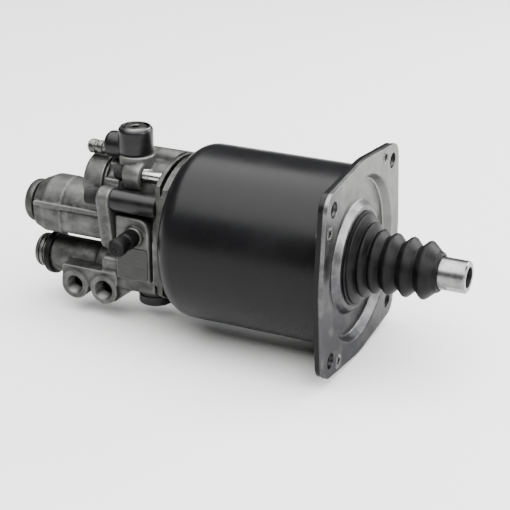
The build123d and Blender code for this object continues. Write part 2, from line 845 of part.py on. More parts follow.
def make_control_cover():
    """Round cover disc with a rounded rear edge and a spigot in the lobe."""
    front = cover_front()
    rear = front - cover_groove_width - cover_thickness
    cover = along_x(cover_radius, rear, front - cover_groove_width, lobe_y, lobe_z)
    cover = fillet(circle_edges(cover, cover_radius, rear), 2.5)
    cover = cover + along_x(cover_radius - 2.5, front - cover_groove_width, front, lobe_y, lobe_z)
    cover = cover + along_x(cover_spigot_radius, front, front + cover_spigot_length, lobe_y, lobe_z)
    groove = tube_x(cover_spigot_radius + 1, cover_spigot_radius - 1.2, front + 0.5, front + 2.1, lobe_y, lobe_z)
    barrel = along_x(cylinder_radius + free_gap, rear - 1, front)
    return cover - groove - barrel


def make_cover_seal():
    """O-ring in the cover spigot's groove."""
    front = cover_front()
    inner = cover_spigot_radius - 1.2 + fit_gap
    return tube_x(cover_spigot_radius + fit_gap, inner, front + 0.55, front + 2.05, lobe_y, lobe_z)


def make_end_cap():
    """Screwed cap with a neck and a well rounded head."""
    neck_rear = cylinder_rear - end_cap_neck_length
    rear = neck_rear - end_cap_length
    head = along_x(end_cap_radius, rear, neck_rear)
    head = fillet(circle_edges(head, end_cap_radius, rear), 5.5)
    head = fillet(circle_edges(head, end_cap_radius, neck_rear), 1.2)
    neck = along_x(end_cap_neck_radius, neck_rear, cylinder_rear)
    thread_front = cylinder_rear + end_cap_thread_length - 1.0
    thread = along_x(end_cap_thread_radius, cylinder_rear, thread_front)
    socket = slab_x(RegularPolygon(4.0, 6), rear, rear + 3.5)
    groove = tube_x(end_cap_neck_radius, end_cap_neck_radius - 1.8, cylinder_rear - 1.6, cylinder_rear)
    return head + neck + thread - socket - groove


def make_end_cap_seal():
    """Ring under the end cap's neck."""
    inner = end_cap_neck_radius - 1.8 + fit_gap
    return tube_x(end_cap_neck_radius, inner, cylinder_rear - 1.55, cylinder_rear)


def make_valve_end_cap():
    """Cap with two turned grooves and a rounded end, pressed in the lower cylinder."""
    rear = lower_rear - valve_cap_length
    cap = along_x(valve_cap_radius, rear, lower_rear, 0, lower_z)
    cap = fillet(circle_edges(cap, valve_cap_radius, rear), 3.0)
    for step in (3.6, 6.8):
        groove = tube_x(valve_cap_radius + 1, valve_cap_radius - 1.1, rear + step, rear + step + 1.3, 0, lower_z)
        cap = cap - groove
    spigot = along_x(lower_bore_radius - fit_gap, lower_rear, lower_rear + valve_cap_spigot_length, 0, lower_z)
    hollow = along_x(lower_bore_radius - 2.5, lower_rear - 3, lower_rear + valve_cap_spigot_length + 1, 0, lower_z)
    cap = cap + spigot - hollow
    for angle in exhaust_hole_places():
        drill = Pos(0, 0, lower_radius / 2 + 1) * Cylinder(exhaust_hole_radius, lower_radius + 2)
        drill = Rot(angle, 0, 0) * drill
        cap = cap - Pos(lower_rear + exhaust_ring_width / 2, 0, lower_z) * drill
    return cap


def make_exhaust_ring():
    """Rubber band over the exhaust holes."""
    front = lower_rear + exhaust_ring_width
    ring = tube_x(exhaust_ring_radius, lower_radius + fit_gap, lower_rear, front, 0, lower_z)
    edges = circle_edges(ring, exhaust_ring_radius, lower_rear) + circle_edges(ring, exhaust_ring_radius, front)
    return fillet(edges, 1.2)


def make_long_bolts():
    """Bolts from the lugs into the ring flange, and the one through the sleeve."""
    tip = ring_front - 0.5
    bolts = []
    for y, z in long_bolt_places():
        bolt = screw_x(long_bolt_radius, lug_rear, ring_rear - 0.2, y, z)
        bolts.append(bolt + along_x(long_bolt_thread, ring_rear - 1, tip, y, z))
    bolt = screw_x(long_bolt_radius, flange_rear, ring_rear - 0.2, sleeve_y, sleeve_z)
    bolts.append(bolt + along_x(long_bolt_thread, ring_rear - 1, tip, sleeve_y, sleeve_z))
    return Compound(children=bolts)


def make_flange_bolts():
    """Short bolts from the upper casting's flange into the main casting."""
    tip = joint_front + short_bolt_grip - 1
    return Compound(children=[screw_x(short_bolt_radius, flange_rear, tip, y, z) for y, z in short_bolt_places])


def make_bolt_sleeve():
    """Spacer tube round the sleeve bolt, between the flange and the ring."""
    sleeve = tube_x(sleeve_radius, long_bolt_radius + fit_gap, joint_front, ring_rear, sleeve_y, sleeve_z)
    ends = circle_edges(sleeve, sleeve_radius, joint_front) + circle_edges(sleeve, sleeve_radius, ring_rear)
    return chamfer(ends, 0.6)


def make_elbow_fitting():
    """Upright fitting with a side arm towards the rear."""
    x = elbow_x()
    body = Pos(x, elbow_y, pad_top + elbow_height / 2) * Cylinder(elbow_radius, elbow_height)
    top = body.edges().filter_by(GeomType.CIRCLE).sort_by(Axis.Z)[-1]
    body = chamfer(top, 1.2)
    arm = along_x(arm_radius, x - arm_reach, x, elbow_y, pad_top + arm_above_pad)
    arm = fillet(circle_edges(arm, arm_radius, x - arm_reach), arm_rounding)
    side = 2 * arm_radius
    low = pad_top - arm_below_pad
    arm = arm - block(x - arm_reach - 1, x + 1, elbow_y - side, elbow_y + side, low - side, low)
    over_pad = Pos(x, elbow_y, pad_top - side / 2) * Cylinder(pad_radius + free_gap, side)
    fitting = body + (arm - over_pad)
    spigot = Cylinder(elbow_spigot_radius, elbow_spigot_length)
    fitting = fitting + Pos(x, elbow_y, pad_top - elbow_spigot_length / 2) * spigot
    plug_pocket = Cylinder(elbow_plug_radius + fit_gap, elbow_plug_depth)
    fitting = fitting - Pos(x, elbow_y, pad_top + elbow_height - elbow_plug_depth / 2) * plug_pocket
    rear = x - arm_reach
    hole = along_x(nipple_thread_radius + fit_gap, rear - 1, rear + nipple_thread_length + 1, elbow_y, nipple_z())
    return fitting - hole


def nipple_z():
    """Height of the nipple's axis."""
    return pad_top + arm_above_pad - nipple_below_arm


def make_elbow_plug():
    """Flush plug with a raised ring and a centre hole."""
    x = elbow_x()
    top = pad_top + elbow_height
    plug = Pos(x, elbow_y, top - elbow_plug_depth / 2) * Cylinder(elbow_plug_radius, elbow_plug_depth)
    groove = Cylinder(elbow_plug_radius - 1.6, 1.4) - Cylinder(elbow_plug_radius - 4.4, 1.4)
    hole = Cylinder(2.6, 3.0)
    return plug - Pos(x, elbow_y, top - 0.7) * groove - Pos(x, elbow_y, top - 1.5) * hole


def make_bleed_nipple():
    """Nipple with a grooved head, screwed in the arm."""
    x = elbow_x() - arm_reach
    z = nipple_z()
    neck = x - nipple_length * 0.6
    nipple = turned([
        (x + nipple_thread_length, 0),
        (x + nipple_thread_length, nipple_thread_radius),
        (x, nipple_thread_radius),
        (x, nipple_radius),
        (neck, nipple_radius),
        (neck, nipple_radius - nipple_groove_depth),
        (neck - 1.4, nipple_radius - nipple_groove_depth),
        (neck - 1.4, nipple_radius + 0.3),
        (x - nipple_length + 1.2, nipple_radius + 0.3),
        (x - nipple_length, nipple_radius - 1.2),
        (x - nipple_length, 0),
    ], elbow_y, z)
    return nipple - along_x(1.2, x - nipple_length - 1, x - nipple_length + 8, elbow_y, z)


def make_bleed_screw():
    """Hexagon bleed screw with a hose stem, standing out of the name block."""
    face = name_block_y - bleed_boss_height
    hexagon = extrude(Plane.XZ * RegularPolygon(bleed_hex / 2, 6, major_radius=False), bleed_hex_height)
    screw = Pos(bleed_x(), face, bleed_z) * hexagon
    stem_length = bleed_stem_length + bleed_hex_height
    stem = Rot(90, 0, 0) * Cylinder(bleed_stem_radius, stem_length)
    screw = screw + Pos(bleed_x(), face - stem_length / 2, bleed_z) * stem
    thread = Rot(90, 0, 0) * Cylinder(bleed_thread_radius, bleed_thread_length)
    screw = screw + Pos(bleed_x(), face + bleed_thread_length / 2, bleed_z) * thread
    bore = Rot(90, 0, 0) * Cylinder(1.2, stem_length)
    return screw - Pos(bleed_x(), face - stem_length / 2 - 1, bleed_z) * bore


def make_bleed_dust_cap():
    """Rubber cap over the bleed screw, with a skirt round its hexagon and a bulb at its end."""
    boss = bleed_boss_height - name_block_y
    root = boss + 0.3
    tip = root + dust_cap_length
    hexagon_end = boss + bleed_hex_height + fit_gap
    bore_end = boss + bleed_hex_height + bleed_stem_length + dust_cap_end_gap
    hexagon_radius = bleed_hex / sqrt(3) + fit_gap
    half = Polyline(
        (hexagon_radius, root),
        (dust_cap_skirt_radius, root),
        (dust_cap_skirt_radius, hexagon_end),
        (dust_cap_neck_radius, hexagon_end + 1.2),
        (dust_cap_neck_radius, hexagon_end + 3.0),
        (dust_cap_radius, hexagon_end + 5.0),
        (dust_cap_radius, tip - 2.4),
        (dust_cap_radius - 2.0, tip),
        (0, tip),
        (0, bore_end),
        (bleed_stem_radius + fit_gap, bore_end),
        (bleed_stem_radius + fit_gap, hexagon_end),
        (hexagon_radius, hexagon_end),
        close=True,
    )
    cap = revolve(make_face(half), Axis.Y)
    return Pos(bleed_x(), 0, bleed_z) * Rot(180, 0, 0) * cap


def make_name_plate():
    """Thin plate stuck on the block's flat side, below the bleed screw."""
    rear = ring_rear - name_block_front_gap - name_block_length + name_plate_margin
    low = name_block_bottom + name_plate_margin
    y = name_block_y
    plate = block(rear, rear + name_plate_width, y - name_plate_thickness, y, low, low + name_plate_height)
    return fillet(plate.edges().filter_by(Axis.Y), 1.5)


def make_lower_plug():
    """Round screw plug with a collar groove, under the main casting."""
    top = plug_boss_bottom
    bottom = top - plug_neck_height - plug_height
    plug = Pos(plug_x(), plug_y, bottom + plug_height / 2) * Cylinder(plug_radius, plug_height)
    plug = fillet(plug.edges().filter_by(GeomType.CIRCLE), 1.6)
    neck_mid = top - plug_neck_height / 2
    plug = plug + Pos(plug_x(), plug_y, neck_mid) * Cylinder(plug_neck_radius, plug_neck_height)
    thread_length = plug_thread_length - 1.0
    thread = Cylinder(plug_thread_radius, thread_length)
    plug = plug + Pos(plug_x(), plug_y, top + thread_length / 2) * thread
    groove = Cylinder(plug_neck_radius, 1.4) - Cylinder(plug_neck_radius - 2.0, 1.4)
    plug = plug - Pos(plug_x(), plug_y, top - 0.7) * groove
    socket = extrude(RegularPolygon(4.0, 6), 4.0)
    return plug - Pos(plug_x(), plug_y, bottom) * socket


def make_lower_plug_seal():
    """Ring between the plug and its boss."""
    ring = Cylinder(plug_neck_radius, 1.35) - Cylinder(plug_neck_radius - 2.0 + fit_gap, 1.35)
    return Pos(plug_x(), plug_y, plug_boss_bottom - 0.675) * ring


def make_push_rod():
    """One turned rod: bright socketed tip, collar for the air piston and spigot for the hydraulic piston."""
    rear = hydraulic_piston_front()
    collar_rear = piston_front
    collar_front = piston_front + collar_on_rod_length
    clip_rear = piston_hub_rear() - clip_thickness
    rod = turned([
        (rear - rod_spigot_length, 0),
        (rear - rod_spigot_length, rod_spigot_radius),
        (rear, rod_spigot_radius),
        (rear, rod_radius),
        (clip_rear, rod_radius),
        (clip_rear, rod_radius - clip_groove_depth),
        (piston_hub_rear(), rod_radius - clip_groove_depth),
        (piston_hub_rear(), rod_radius),
        (collar_rear, rod_radius),
        (collar_rear, collar_on_rod_radius),
        (collar_front, collar_on_rod_radius),
        (collar_front, rod_tip_radius),
        (rod_tip_reach - rod_chamfer, rod_tip_radius),
        (rod_tip_reach, rod_tip_radius - rod_chamfer),
        (rod_tip_reach, 0),
    ])
    socket_end = rod_tip_reach - rod_socket_depth
    socket = turned([
        (socket_end - rod_socket_radius * 0.35, 0),
        (socket_end, rod_socket_radius),
        (rod_tip_reach + 1, rod_socket_radius),
        (rod_tip_reach + 1, 0),
    ])
    rod = rod - socket
    flat_rear = rod_tip_reach - rod_flat_length
    for side in (-1, 1):
        cut = block(flat_rear, rod_tip_reach + 1, -30, 30, rod_flat_width / 2, 30)
        turn = 90 + side * 90 + rod_flat_angle + 90
        rod = rod - Rot(turn, 0, 0) * cut
    return rod


def piston_hub_rear():
    """Rear face of the air piston's hub."""
    return piston_front - piston_hub_length


def make_pneumatic_piston():
    """Cast disc with a deep rim for its seal and guide ring, and a hub on the rod."""
    front = piston_front
    rim_rear = front - piston_rim_width
    web_front = front - 3.0
    web_rear = web_front - piston_web
    inner_rim = piston_radius - piston_rim_wall
    bore = rod_radius + fit_gap
    seal_front = front - 3.0
    guide_front = seal_front - seal_width - 2.5
    piston = turned([
        (front, bore),
        (front, piston_hub_radius),
        (web_front, piston_hub_radius + 2),
        (web_front, inner_rim - 2),
        (front, inner_rim),
        (front, piston_radius),
        (seal_front, piston_radius),
        (seal_front, piston_radius - seal_groove_depth),
        (seal_front - seal_width, piston_radius - seal_groove_depth),
        (seal_front - seal_width, piston_radius),
        (guide_front, piston_radius),
        (guide_front, piston_radius - guide_groove_depth),
        (guide_front - guide_width, piston_radius - guide_groove_depth),
        (guide_front - guide_width, piston_radius),
        (rim_rear, piston_radius),
        (rim_rear, inner_rim + 2),
        (web_rear, inner_rim),
        (web_rear, piston_hub_radius + 2),
        (piston_hub_rear(), piston_hub_radius),
        (piston_hub_rear(), bore),
    ])
    return piston


def make_piston_lip_seal():
    """Rubber cup ring with its lip against the can."""
    front = piston_front - 3.0
    outer = can_radius - can_wall - running_gap
    inner = piston_radius - seal_groove_depth + fit_gap
    middle = (outer + inner) / 2
    rear = front - seal_width
    return turned([
        (front, inner),
        (front, outer - 1.2),
        (rear + 0.4, outer),
        (rear + 0.1, outer - 1.4),
        (rear + 2.4, middle),
        (rear + 0.1, inner + 1.4),
        (rear + 0.1, inner),
    ])


def make_piston_guide_ring():
    """Plain bearing band round the air piston."""
    front = piston_front - 3.0 - seal_width - 2.5
    outer = can_radius - can_wall - running_gap
    inner = piston_radius - guide_groove_depth + fit_gap
    return tube_x(outer, inner, front - guide_width + fit_gap, front - fit_gap)


def make_piston_clip():
    """Open spring clip behind the air piston's hub."""
    rear = piston_hub_rear() - clip_thickness
    clip = tube_x(clip_radius, rod_radius - clip_groove_depth + fit_gap, rear + fit_gap, piston_hub_rear())
    gap = block(rear - 1, piston_hub_rear() + 1, -2.5, 2.5, 0, -30)
    return clip - gap


def make_return_spring():
    """Tapered coil between the can's rear wall and the air piston."""
    rear = can_rear + can_wall
    front = piston_front - 3.0 - piston_web
    return coil(spring_wire, rear, front, spring_rear_radius, spring_front_radius, spring_turns)


def make_boot():
    """Rubber bellows: base clipped in the plate's hole, rounded folds and a cuff on the rod."""
    seat = -boss_drop
    back = seat - plate_thickness
    front = seat + boot_wall
    hole = rod_tip_radius + 0.1
    neck = plate_hole_radius - 0.1
    points = [(seat, boot_base_radius)] + [corner for corner, _ in boot_corners] + [(boot_cuff_front, hole + 2.0)]
    path = FilletPolyline(*points, radius=[bend for _, bend in boot_corners])
    wall = make_face(offset(path, amount=boot_wall, side=Side.RIGHT, closed=True))
    base = make_face(Polyline(
        (seat, neck),
        (seat, boot_base_radius - 0.2),
        (front, boot_base_radius - 0.2),
        (front, neck - 2.0),
        (back - 1.8, neck - 2.0),
        (back - 1.8, boot_inner_lip_radius - 0.8),
        (back - 1.0, boot_inner_lip_radius),
        (back, boot_inner_lip_radius),
        (back, neck),
        close=True,
    ))
    cuff = make_face(Polyline(
        (boot_cuff_front - boot_cuff_length, hole),
        (boot_cuff_front - boot_cuff_length, hole + 2.6),
        (boot_cuff_front - 0.6, hole + 1.6),
        (boot_cuff_front - 0.6, hole),
        close=True,
    ))
    return revolve(wall, Axis.X) + revolve(base, Axis.X) + revolve(cuff, Axis.X)


def hydraulic_piston_front():
    """Front face of the hydraulic piston."""
    return hydraulic_piston_rear + hydraulic_piston_length


def make_hydraulic_piston():
    """Turned piston with grooves for its cup seal and guide ring."""
    rear = hydraulic_piston_rear
    front = hydraulic_piston_front()
    radius = hydraulic_bore_radius - running_gap * 3
    guide_rear = front - 2.0 - hydraulic_guide_width
    piston = turned([
        (rear, 0),
        (rear, radius - 1.0),
        (rear + 1.0, radius),
        (rear + 1.5, radius),
        (rear + 1.5, radius - cup_seal_depth),
        (rear + 1.5 + cup_seal_length, radius - cup_seal_depth),
        (rear + 1.5 + cup_seal_length, radius),
        (guide_rear, radius),
        (guide_rear, radius - hydraulic_guide_depth),
        (front - 2.0, radius - hydraulic_guide_depth),
        (front - 2.0, radius),
        (front, radius),
        (front, 0),
    ])
    return piston - along_x(rod_spigot_radius + fit_gap, front - rod_spigot_length - fit_gap, front + 1)


def make_hydraulic_cup_seal():
    """Rubber cup that holds the fluid."""
    rear = hydraulic_piston_rear + 1.5
    radius = hydraulic_bore_radius - running_gap
    inner = hydraulic_bore_radius - running_gap * 3 - cup_seal_depth + fit_gap
    return turned([
        (rear + 0.1, inner),
        (rear + 0.1, inner + 0.7),
        (rear + 2.0, (inner + radius) / 2),
        (rear + 0.1, radius - 0.7),
        (rear + 0.4, radius),
        (rear + cup_seal_length - 0.1, radius - 0.4),
        (rear + cup_seal_length - 0.1, inner),
    ])


def make_hydraulic_guide_ring():
    """Bearing band round the hydraulic piston."""
    front = hydraulic_piston_front() - 2.0
    inner = hydraulic_bore_radius - running_gap * 3 - hydraulic_guide_depth + fit_gap
    outer = hydraulic_bore_radius - running_gap
    return tube_x(outer, inner, front - hydraulic_guide_width + fit_gap, front - fit_gap)


def rod_seal_rear():
    """Rear face of the rod seal's pocket."""
    return housing_front - rod_bush_length - rod_seal_length


def make_rod_seal():
    """Lip seal between the hydraulic side and the can."""
    rear = rod_seal_rear()
    outer = rod_seal_radius - fit_gap
    inner = rod_radius + running_gap
    front = rear + rod_seal_length
    return turned([
        (rear, outer),
        (rear, inner + 1.6),
        (rear + 2.6, inner + 1.2),
        (rear + 0.6, inner),
        (front, inner + 0.5),
        (front, outer),
    ])


def make_rod_bush():
    """Bearing bush that guides the rod, pressed in the casting's spigot."""
    rear = rod_seal_rear() + rod_seal_length
    return tube_x(rod_seal_radius - fit_gap, rod_radius + running_gap, rear, housing_front)


def relay_rear():
    """Rear face of the relay piston."""
    return joint_front + relay_start


def relay_front():
    """Front face of the relay piston's disc."""
    return relay_rear() + relay_piston_length


def seat_rear():
    """Rear face of the valve seat."""
    return relay_front() + seat_from_piston


def inlet_face():
    """Face of the inlet valve, on the seat."""
    return seat_rear() + seat_thickness


def make_relay_piston():
    """Air-side piston with a hollow stem that is the exhaust seat."""
    rear, front = relay_rear(), relay_front()
    radius = relay_bore_radius - running_gap * 2
    tip = inlet_face() - relay_take_up
    seal_rear = rear + 2.2
    piston = turned([
        (rear, 0),
        (rear, radius),
        (seal_rear, radius),
        (seal_rear, radius - relay_seal_depth),
        (seal_rear + relay_seal_width, radius - relay_seal_depth),
        (seal_rear + relay_seal_width, radius),
        (front, radius),
        (front, relay_stem_radius),
        (tip, relay_stem_radius),
        (tip, relay_stem_bore),
        (front - 3.0, relay_stem_bore),
        (front - 3.0, 0),
    ], lobe_y, lobe_z)
    return piston


def make_relay_piston_seal():
    """Ring seal of the relay piston."""
    rear = relay_rear() + 2.2
    inner = relay_bore_radius - running_gap * 2 - relay_seal_depth + fit_gap
    outer = relay_bore_radius - running_gap
    return tube_x(outer, inner, rear + fit_gap, rear + relay_seal_width - fit_gap, lobe_y, lobe_z)


def make_control_piston():
    """Small hydraulic piston behind the relay piston."""
    front = relay_rear()
    rear = front - control_piston_length
    radius = control_bore_radius - running_gap
    seal_rear = rear + 2.0
    return turned([
        (rear, 0),
        (rear, radius),
        (seal_rear, radius),
        (seal_rear, radius - control_seal_depth),
        (seal_rear + control_seal_width, radius - control_seal_depth),
        (seal_rear + control_seal_width, radius),
        (front - 3.0, radius),
        (front - 3.0, 4.0),
        (front, 4.0),
        (front, 0),
    ], lobe_y, lobe_z)


def make_control_piston_seal():
    """Ring seal of the control piston."""
    rear = relay_rear() - control_piston_length + 2.0
    inner = control_bore_radius - running_gap - control_seal_depth + fit_gap
    outer = control_bore_radius - running_gap
    return tube_x(outer, inner, rear + fit_gap, rear + control_seal_width - fit_gap, lobe_y, lobe_z)


def make_valve_seat():
    """Seat ring between the relay chamber and the air supply."""
    outer = relay_bore_radius - fit_gap
    seat = tube_x(outer, seat_hole_radius, seat_rear(), inlet_face() - 0.6, lobe_y, lobe_z)
    return seat + tube_x(seat_hole_radius + 1.0, seat_hole_radius, seat_rear(), inlet_face(), lobe_y, lobe_z)


def make_inlet_valve():
    """Disc valve on a guided stem."""
    face = inlet_face() + 0.05
    disc = along_x(inlet_disc_radius, face, face + inlet_disc_thickness, lobe_y, lobe_z)
    stem = along_x(inlet_stem_radius, face, face + inlet_disc_thickness + inlet_stem_length, lobe_y, lobe_z)
    return disc + stem


def valve_guide_front():
    """Front face of the valve guide, on the bore's end wall."""
    return ring_rear - 3.0


def make_valve_guide():
    """Guide disc at the end of the bore."""
    front = valve_guide_front()
    outer = relay_bore_radius - fit_gap
    return tube_x(outer, inlet_stem_radius + running_gap, front - guide_thickness, front, lobe_y, lobe_z)


def make_relay_spring():
    """Coil that pushes the relay piston back."""
    rear, front = relay_front(), seat_rear()
    return coil(small_spring_wire, rear, front, relay_spring_radius, relay_spring_radius,
                small_spring_turns, lobe_y, lobe_z)


def make_inlet_valve_spring():
    """Coil that closes the inlet valve."""
    rear = inlet_face() + 0.05 + inlet_disc_thickness
    front = valve_guide_front() - guide_thickness
    return coil(small_spring_wire, rear, front, inlet_spring_radius, inlet_spring_radius,
                small_spring_turns, lobe_y, lobe_z)


pieces = {
    "front_plate": make_front_plate,
    "plate_rivets": make_plate_rivets,
    "pneumatic_can": make_can,
    "can_seal": make_can_seal,
    "ring_flange": make_ring_flange,
    "ring_gasket": make_ring_gasket,
    "ring_screws": make_ring_screws,
    "valve_housing": make_valve_housing,
    "hydraulic_cylinder": make_hydraulic_cylinder,
    "housing_gasket": make_housing_gasket,
    "control_cover": make_control_cover,
    "cover_seal": make_cover_seal,
    "cylinder_end_cap": make_end_cap,
    "end_cap_seal": make_end_cap_seal,
    "valve_end_cap": make_valve_end_cap,
    "exhaust_ring": make_exhaust_ring,
    "long_bolts": make_long_bolts,
    "flange_bolts": make_flange_bolts,
    "bolt_sleeve": make_bolt_sleeve,
    "elbow_fitting": make_elbow_fitting,
    "elbow_plug": make_elbow_plug,
    "bleed_nipple": make_bleed_nipple,
    "bleed_screw": make_bleed_screw,
    "bleed_dust_cap": make_bleed_dust_cap,
    "name_plate": make_name_plate,
    "lower_plug": make_lower_plug,
    "lower_plug_seal": make_lower_plug_seal,
    "push_rod": make_push_rod,
    "pneumatic_piston": make_pneumatic_piston,
    "piston_lip_seal": make_piston_lip_seal,
    "piston_guide_ring": make_piston_guide_ring,
    "piston_clip": make_piston_clip,
    "return_spring": make_return_spring,
    "boot": make_boot,
    "hydraulic_piston": make_hydraulic_piston,
    "hydraulic_cup_seal": make_hydraulic_cup_seal,
    "hydraulic_guide_ring": make_hydraulic_guide_ring,
    "rod_seal": make_rod_seal,
    "rod_bush": make_rod_bush,
    "relay_piston": make_relay_piston,
    "relay_piston_seal": make_relay_piston_seal,
    "control_piston": make_control_piston,
    "control_piston_seal": make_control_piston_seal,
    "valve_seat": make_valve_seat,
    "inlet_valve": make_inlet_valve,
    "valve_guide": make_valve_guide,
    "relay_spring": make_relay_spring,
    "inlet_valve_spring": make_inlet_valve_spring,
}

for name, make in pieces.items():
    shape = make()
    print(name, round(shape.volume), len(shape.solids()))
    export_step(shape, f"parts/{name}.step")
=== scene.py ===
import bpy
import bmesh
from math import cos, pi, radians, sin
from mathutils import Matrix, Vector


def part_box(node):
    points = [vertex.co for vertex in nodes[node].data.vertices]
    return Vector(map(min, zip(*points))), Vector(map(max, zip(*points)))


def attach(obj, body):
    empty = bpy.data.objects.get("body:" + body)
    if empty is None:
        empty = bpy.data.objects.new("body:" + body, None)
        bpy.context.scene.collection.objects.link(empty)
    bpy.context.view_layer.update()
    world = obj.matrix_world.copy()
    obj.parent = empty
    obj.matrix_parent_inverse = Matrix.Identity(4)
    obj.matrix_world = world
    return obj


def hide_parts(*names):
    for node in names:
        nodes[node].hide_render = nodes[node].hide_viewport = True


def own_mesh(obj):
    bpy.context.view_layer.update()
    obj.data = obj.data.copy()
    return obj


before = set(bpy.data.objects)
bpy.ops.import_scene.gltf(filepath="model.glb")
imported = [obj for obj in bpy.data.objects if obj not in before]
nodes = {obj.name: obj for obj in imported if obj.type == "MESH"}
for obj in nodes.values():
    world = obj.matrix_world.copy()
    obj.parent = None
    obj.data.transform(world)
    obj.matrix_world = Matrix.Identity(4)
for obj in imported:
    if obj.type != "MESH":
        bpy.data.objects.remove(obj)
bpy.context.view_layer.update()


# Camera: a little above the servo and off to the side of its push rod, with a long lens. Its lens, place
# and turn were fitted to the rims of the can, the holes of the plate and the mouths of the ports.
camera_data = bpy.data.cameras.new("camera")
camera_data.sensor_width = 36.0
camera_data.lens = 100.43
camera_data.shift_x = -0.0035
camera_data.shift_y = -0.0361
camera_data.clip_start = 0.01
camera = bpy.data.objects.new("camera", camera_data)
bpy.context.scene.collection.objects.link(camera)
camera_place = (0.293265, -0.780257, 0.354231)
camera_right = Vector((0.90419, 0.42711, 0.00293))
camera_up = Vector((-0.16404, 0.34093, 0.92567))
camera_back = Vector((0.39436, -0.83746, 0.37833))
camera_turn = Matrix((camera_right, camera_up, camera_back)).transposed()
camera.matrix_world = Matrix.Translation(camera_place) @ camera_turn.to_4x4()
bpy.context.scene.camera = camera


# Stage: a plain pale floor just under the servo, and a pale room all round.
# It stands for the photographer's white table and backdrop.
def linear_colour(code):
    """The linear colour of an sRGB hex value."""
    channels = [int(code[i:i + 2], 16) / 255 for i in (1, 3, 5)]
    return [c / 12.92 if c <= 0.04045 else ((c + 0.055) / 1.055) ** 2.4 for c in channels] + [1.0]


def add_node(tree, kind, settings=None, inputs=None, links=None):
    """Adds a shader node with its settings, its input values, and its inputs' links from other sockets."""
    node = tree.nodes.new(kind)
    for name, value in (settings or {}).items():
        setattr(node, name, value)
    for name, value in (inputs or {}).items():
        node.inputs[name].default_value = value
    for name, socket in (links or {}).items():
        tree.links.new(socket, node.inputs[name])
    return node


def new_finish(name):
    """A new material with an empty Principled surface. Returns the material, its tree and its shader."""
    finish = bpy.data.materials.new(name)
    finish.use_nodes = True
    tree = finish.node_tree
    tree.nodes.clear()
    output = tree.nodes.new("ShaderNodeOutputMaterial")
    shader = tree.nodes.new("ShaderNodeBsdfPrincipled")
    tree.links.new(shader.outputs["BSDF"], output.inputs["Surface"])
    return finish, tree, shader


floor_size = 8.0
floor_height = -0.068     # the plate's lowest corners are at -0.066
bpy.ops.object.select_all(action="DESELECT")
bpy.ops.mesh.primitive_plane_add(size=floor_size, location=(0.0, 0.0, floor_height))
floor = bpy.context.object
floor.name = "floor"
bpy.ops.object.transform_apply(location=True, rotation=True, scale=True)
# Uncoated paper: it scatters the light evenly and shows no gloss.
floor_finish, tree, shader = new_finish("matt_white_paper")
shader.inputs["Base Color"].default_value = linear_colour("#CFCFCE")
shader.inputs["Roughness"].default_value = 0.95
shader.inputs["Specular IOR Level"].default_value = 0.1
floor.data.materials.append(floor_finish)

room = bpy.data.worlds.new("pale_room")
bpy.context.scene.world = room
room.use_nodes = True
room.node_tree.nodes["Background"].inputs["Color"].default_value = linear_colour("#E9ECEE")
room.node_tree.nodes["Background"].inputs["Strength"].default_value = 0.12


# Lamps: one very wide diffuser high over the table, which lays the band of light along the black can and
# leaves the sides dark, and two small soft boxes in front of and behind the plate for the glints in its dish.
def add_lamp(name, place, aim, width, height, watts):
    """A soft rectangular lamp at a place, turned to face a point."""
    data = bpy.data.lights.new(name, "AREA")
    data.shape = "RECTANGLE"
    data.size = width
    data.size_y = height
    data.energy = watts
    lamp = bpy.data.objects.new(name, data)
    bpy.context.scene.collection.objects.link(lamp)
    lamp.location = place
    lamp.rotation_euler = (Vector(aim) - Vector(place)).to_track_quat("-Z", "Y").to_euler()


add_lamp("overhead_diffuser", (0.0, -0.6, 3.0), (0.0, -0.6, 0.0), width=5.0, height=6.0, watts=840.0)
add_lamp("plate_soft_box", (1.0, -0.25, 0.6), (0.0, 0.0, 0.0), width=0.5, height=0.5, watts=18.0)
add_lamp("rear_soft_box", (0.55, 0.9, 0.5), (0.0, 0.0, 0.0), width=0.7, height=0.5, watts=18.0)


# Air can: deep-drawn sheet steel with a square flange, riveted to the front plate and coated with satin
# black stove enamel. The coat is even, with a faint ripple like orange skin and dull smears from handling.
mm = 0.001


def lay_surface(tree, shader, drift, stops, gloss, relief, metallic=0.0):
    """Joins up a finish, with a colour that fades from stop (position, sRGB hex) to stop along a drift."""
    tone = add_node(tree, "ShaderNodeValToRGB", links={"Fac": drift})
    for element, (position, colour) in zip(tone.color_ramp.elements, stops):
        element.position = position
        element.color = linear_colour(colour)
    tree.links.new(tone.outputs["Color"], shader.inputs["Base Color"])
    if gloss:
        tree.links.new(gloss.outputs["Result"], shader.inputs["Roughness"])
    tree.links.new(relief.outputs["Normal"], shader.inputs["Normal"])
    shader.inputs["Metallic"].default_value = metallic


def finish_node(node, finish):
    """Gives a CAD node one finish, in all its slots."""
    data = nodes[node].data
    data.materials.clear()
    data.materials.append(finish)


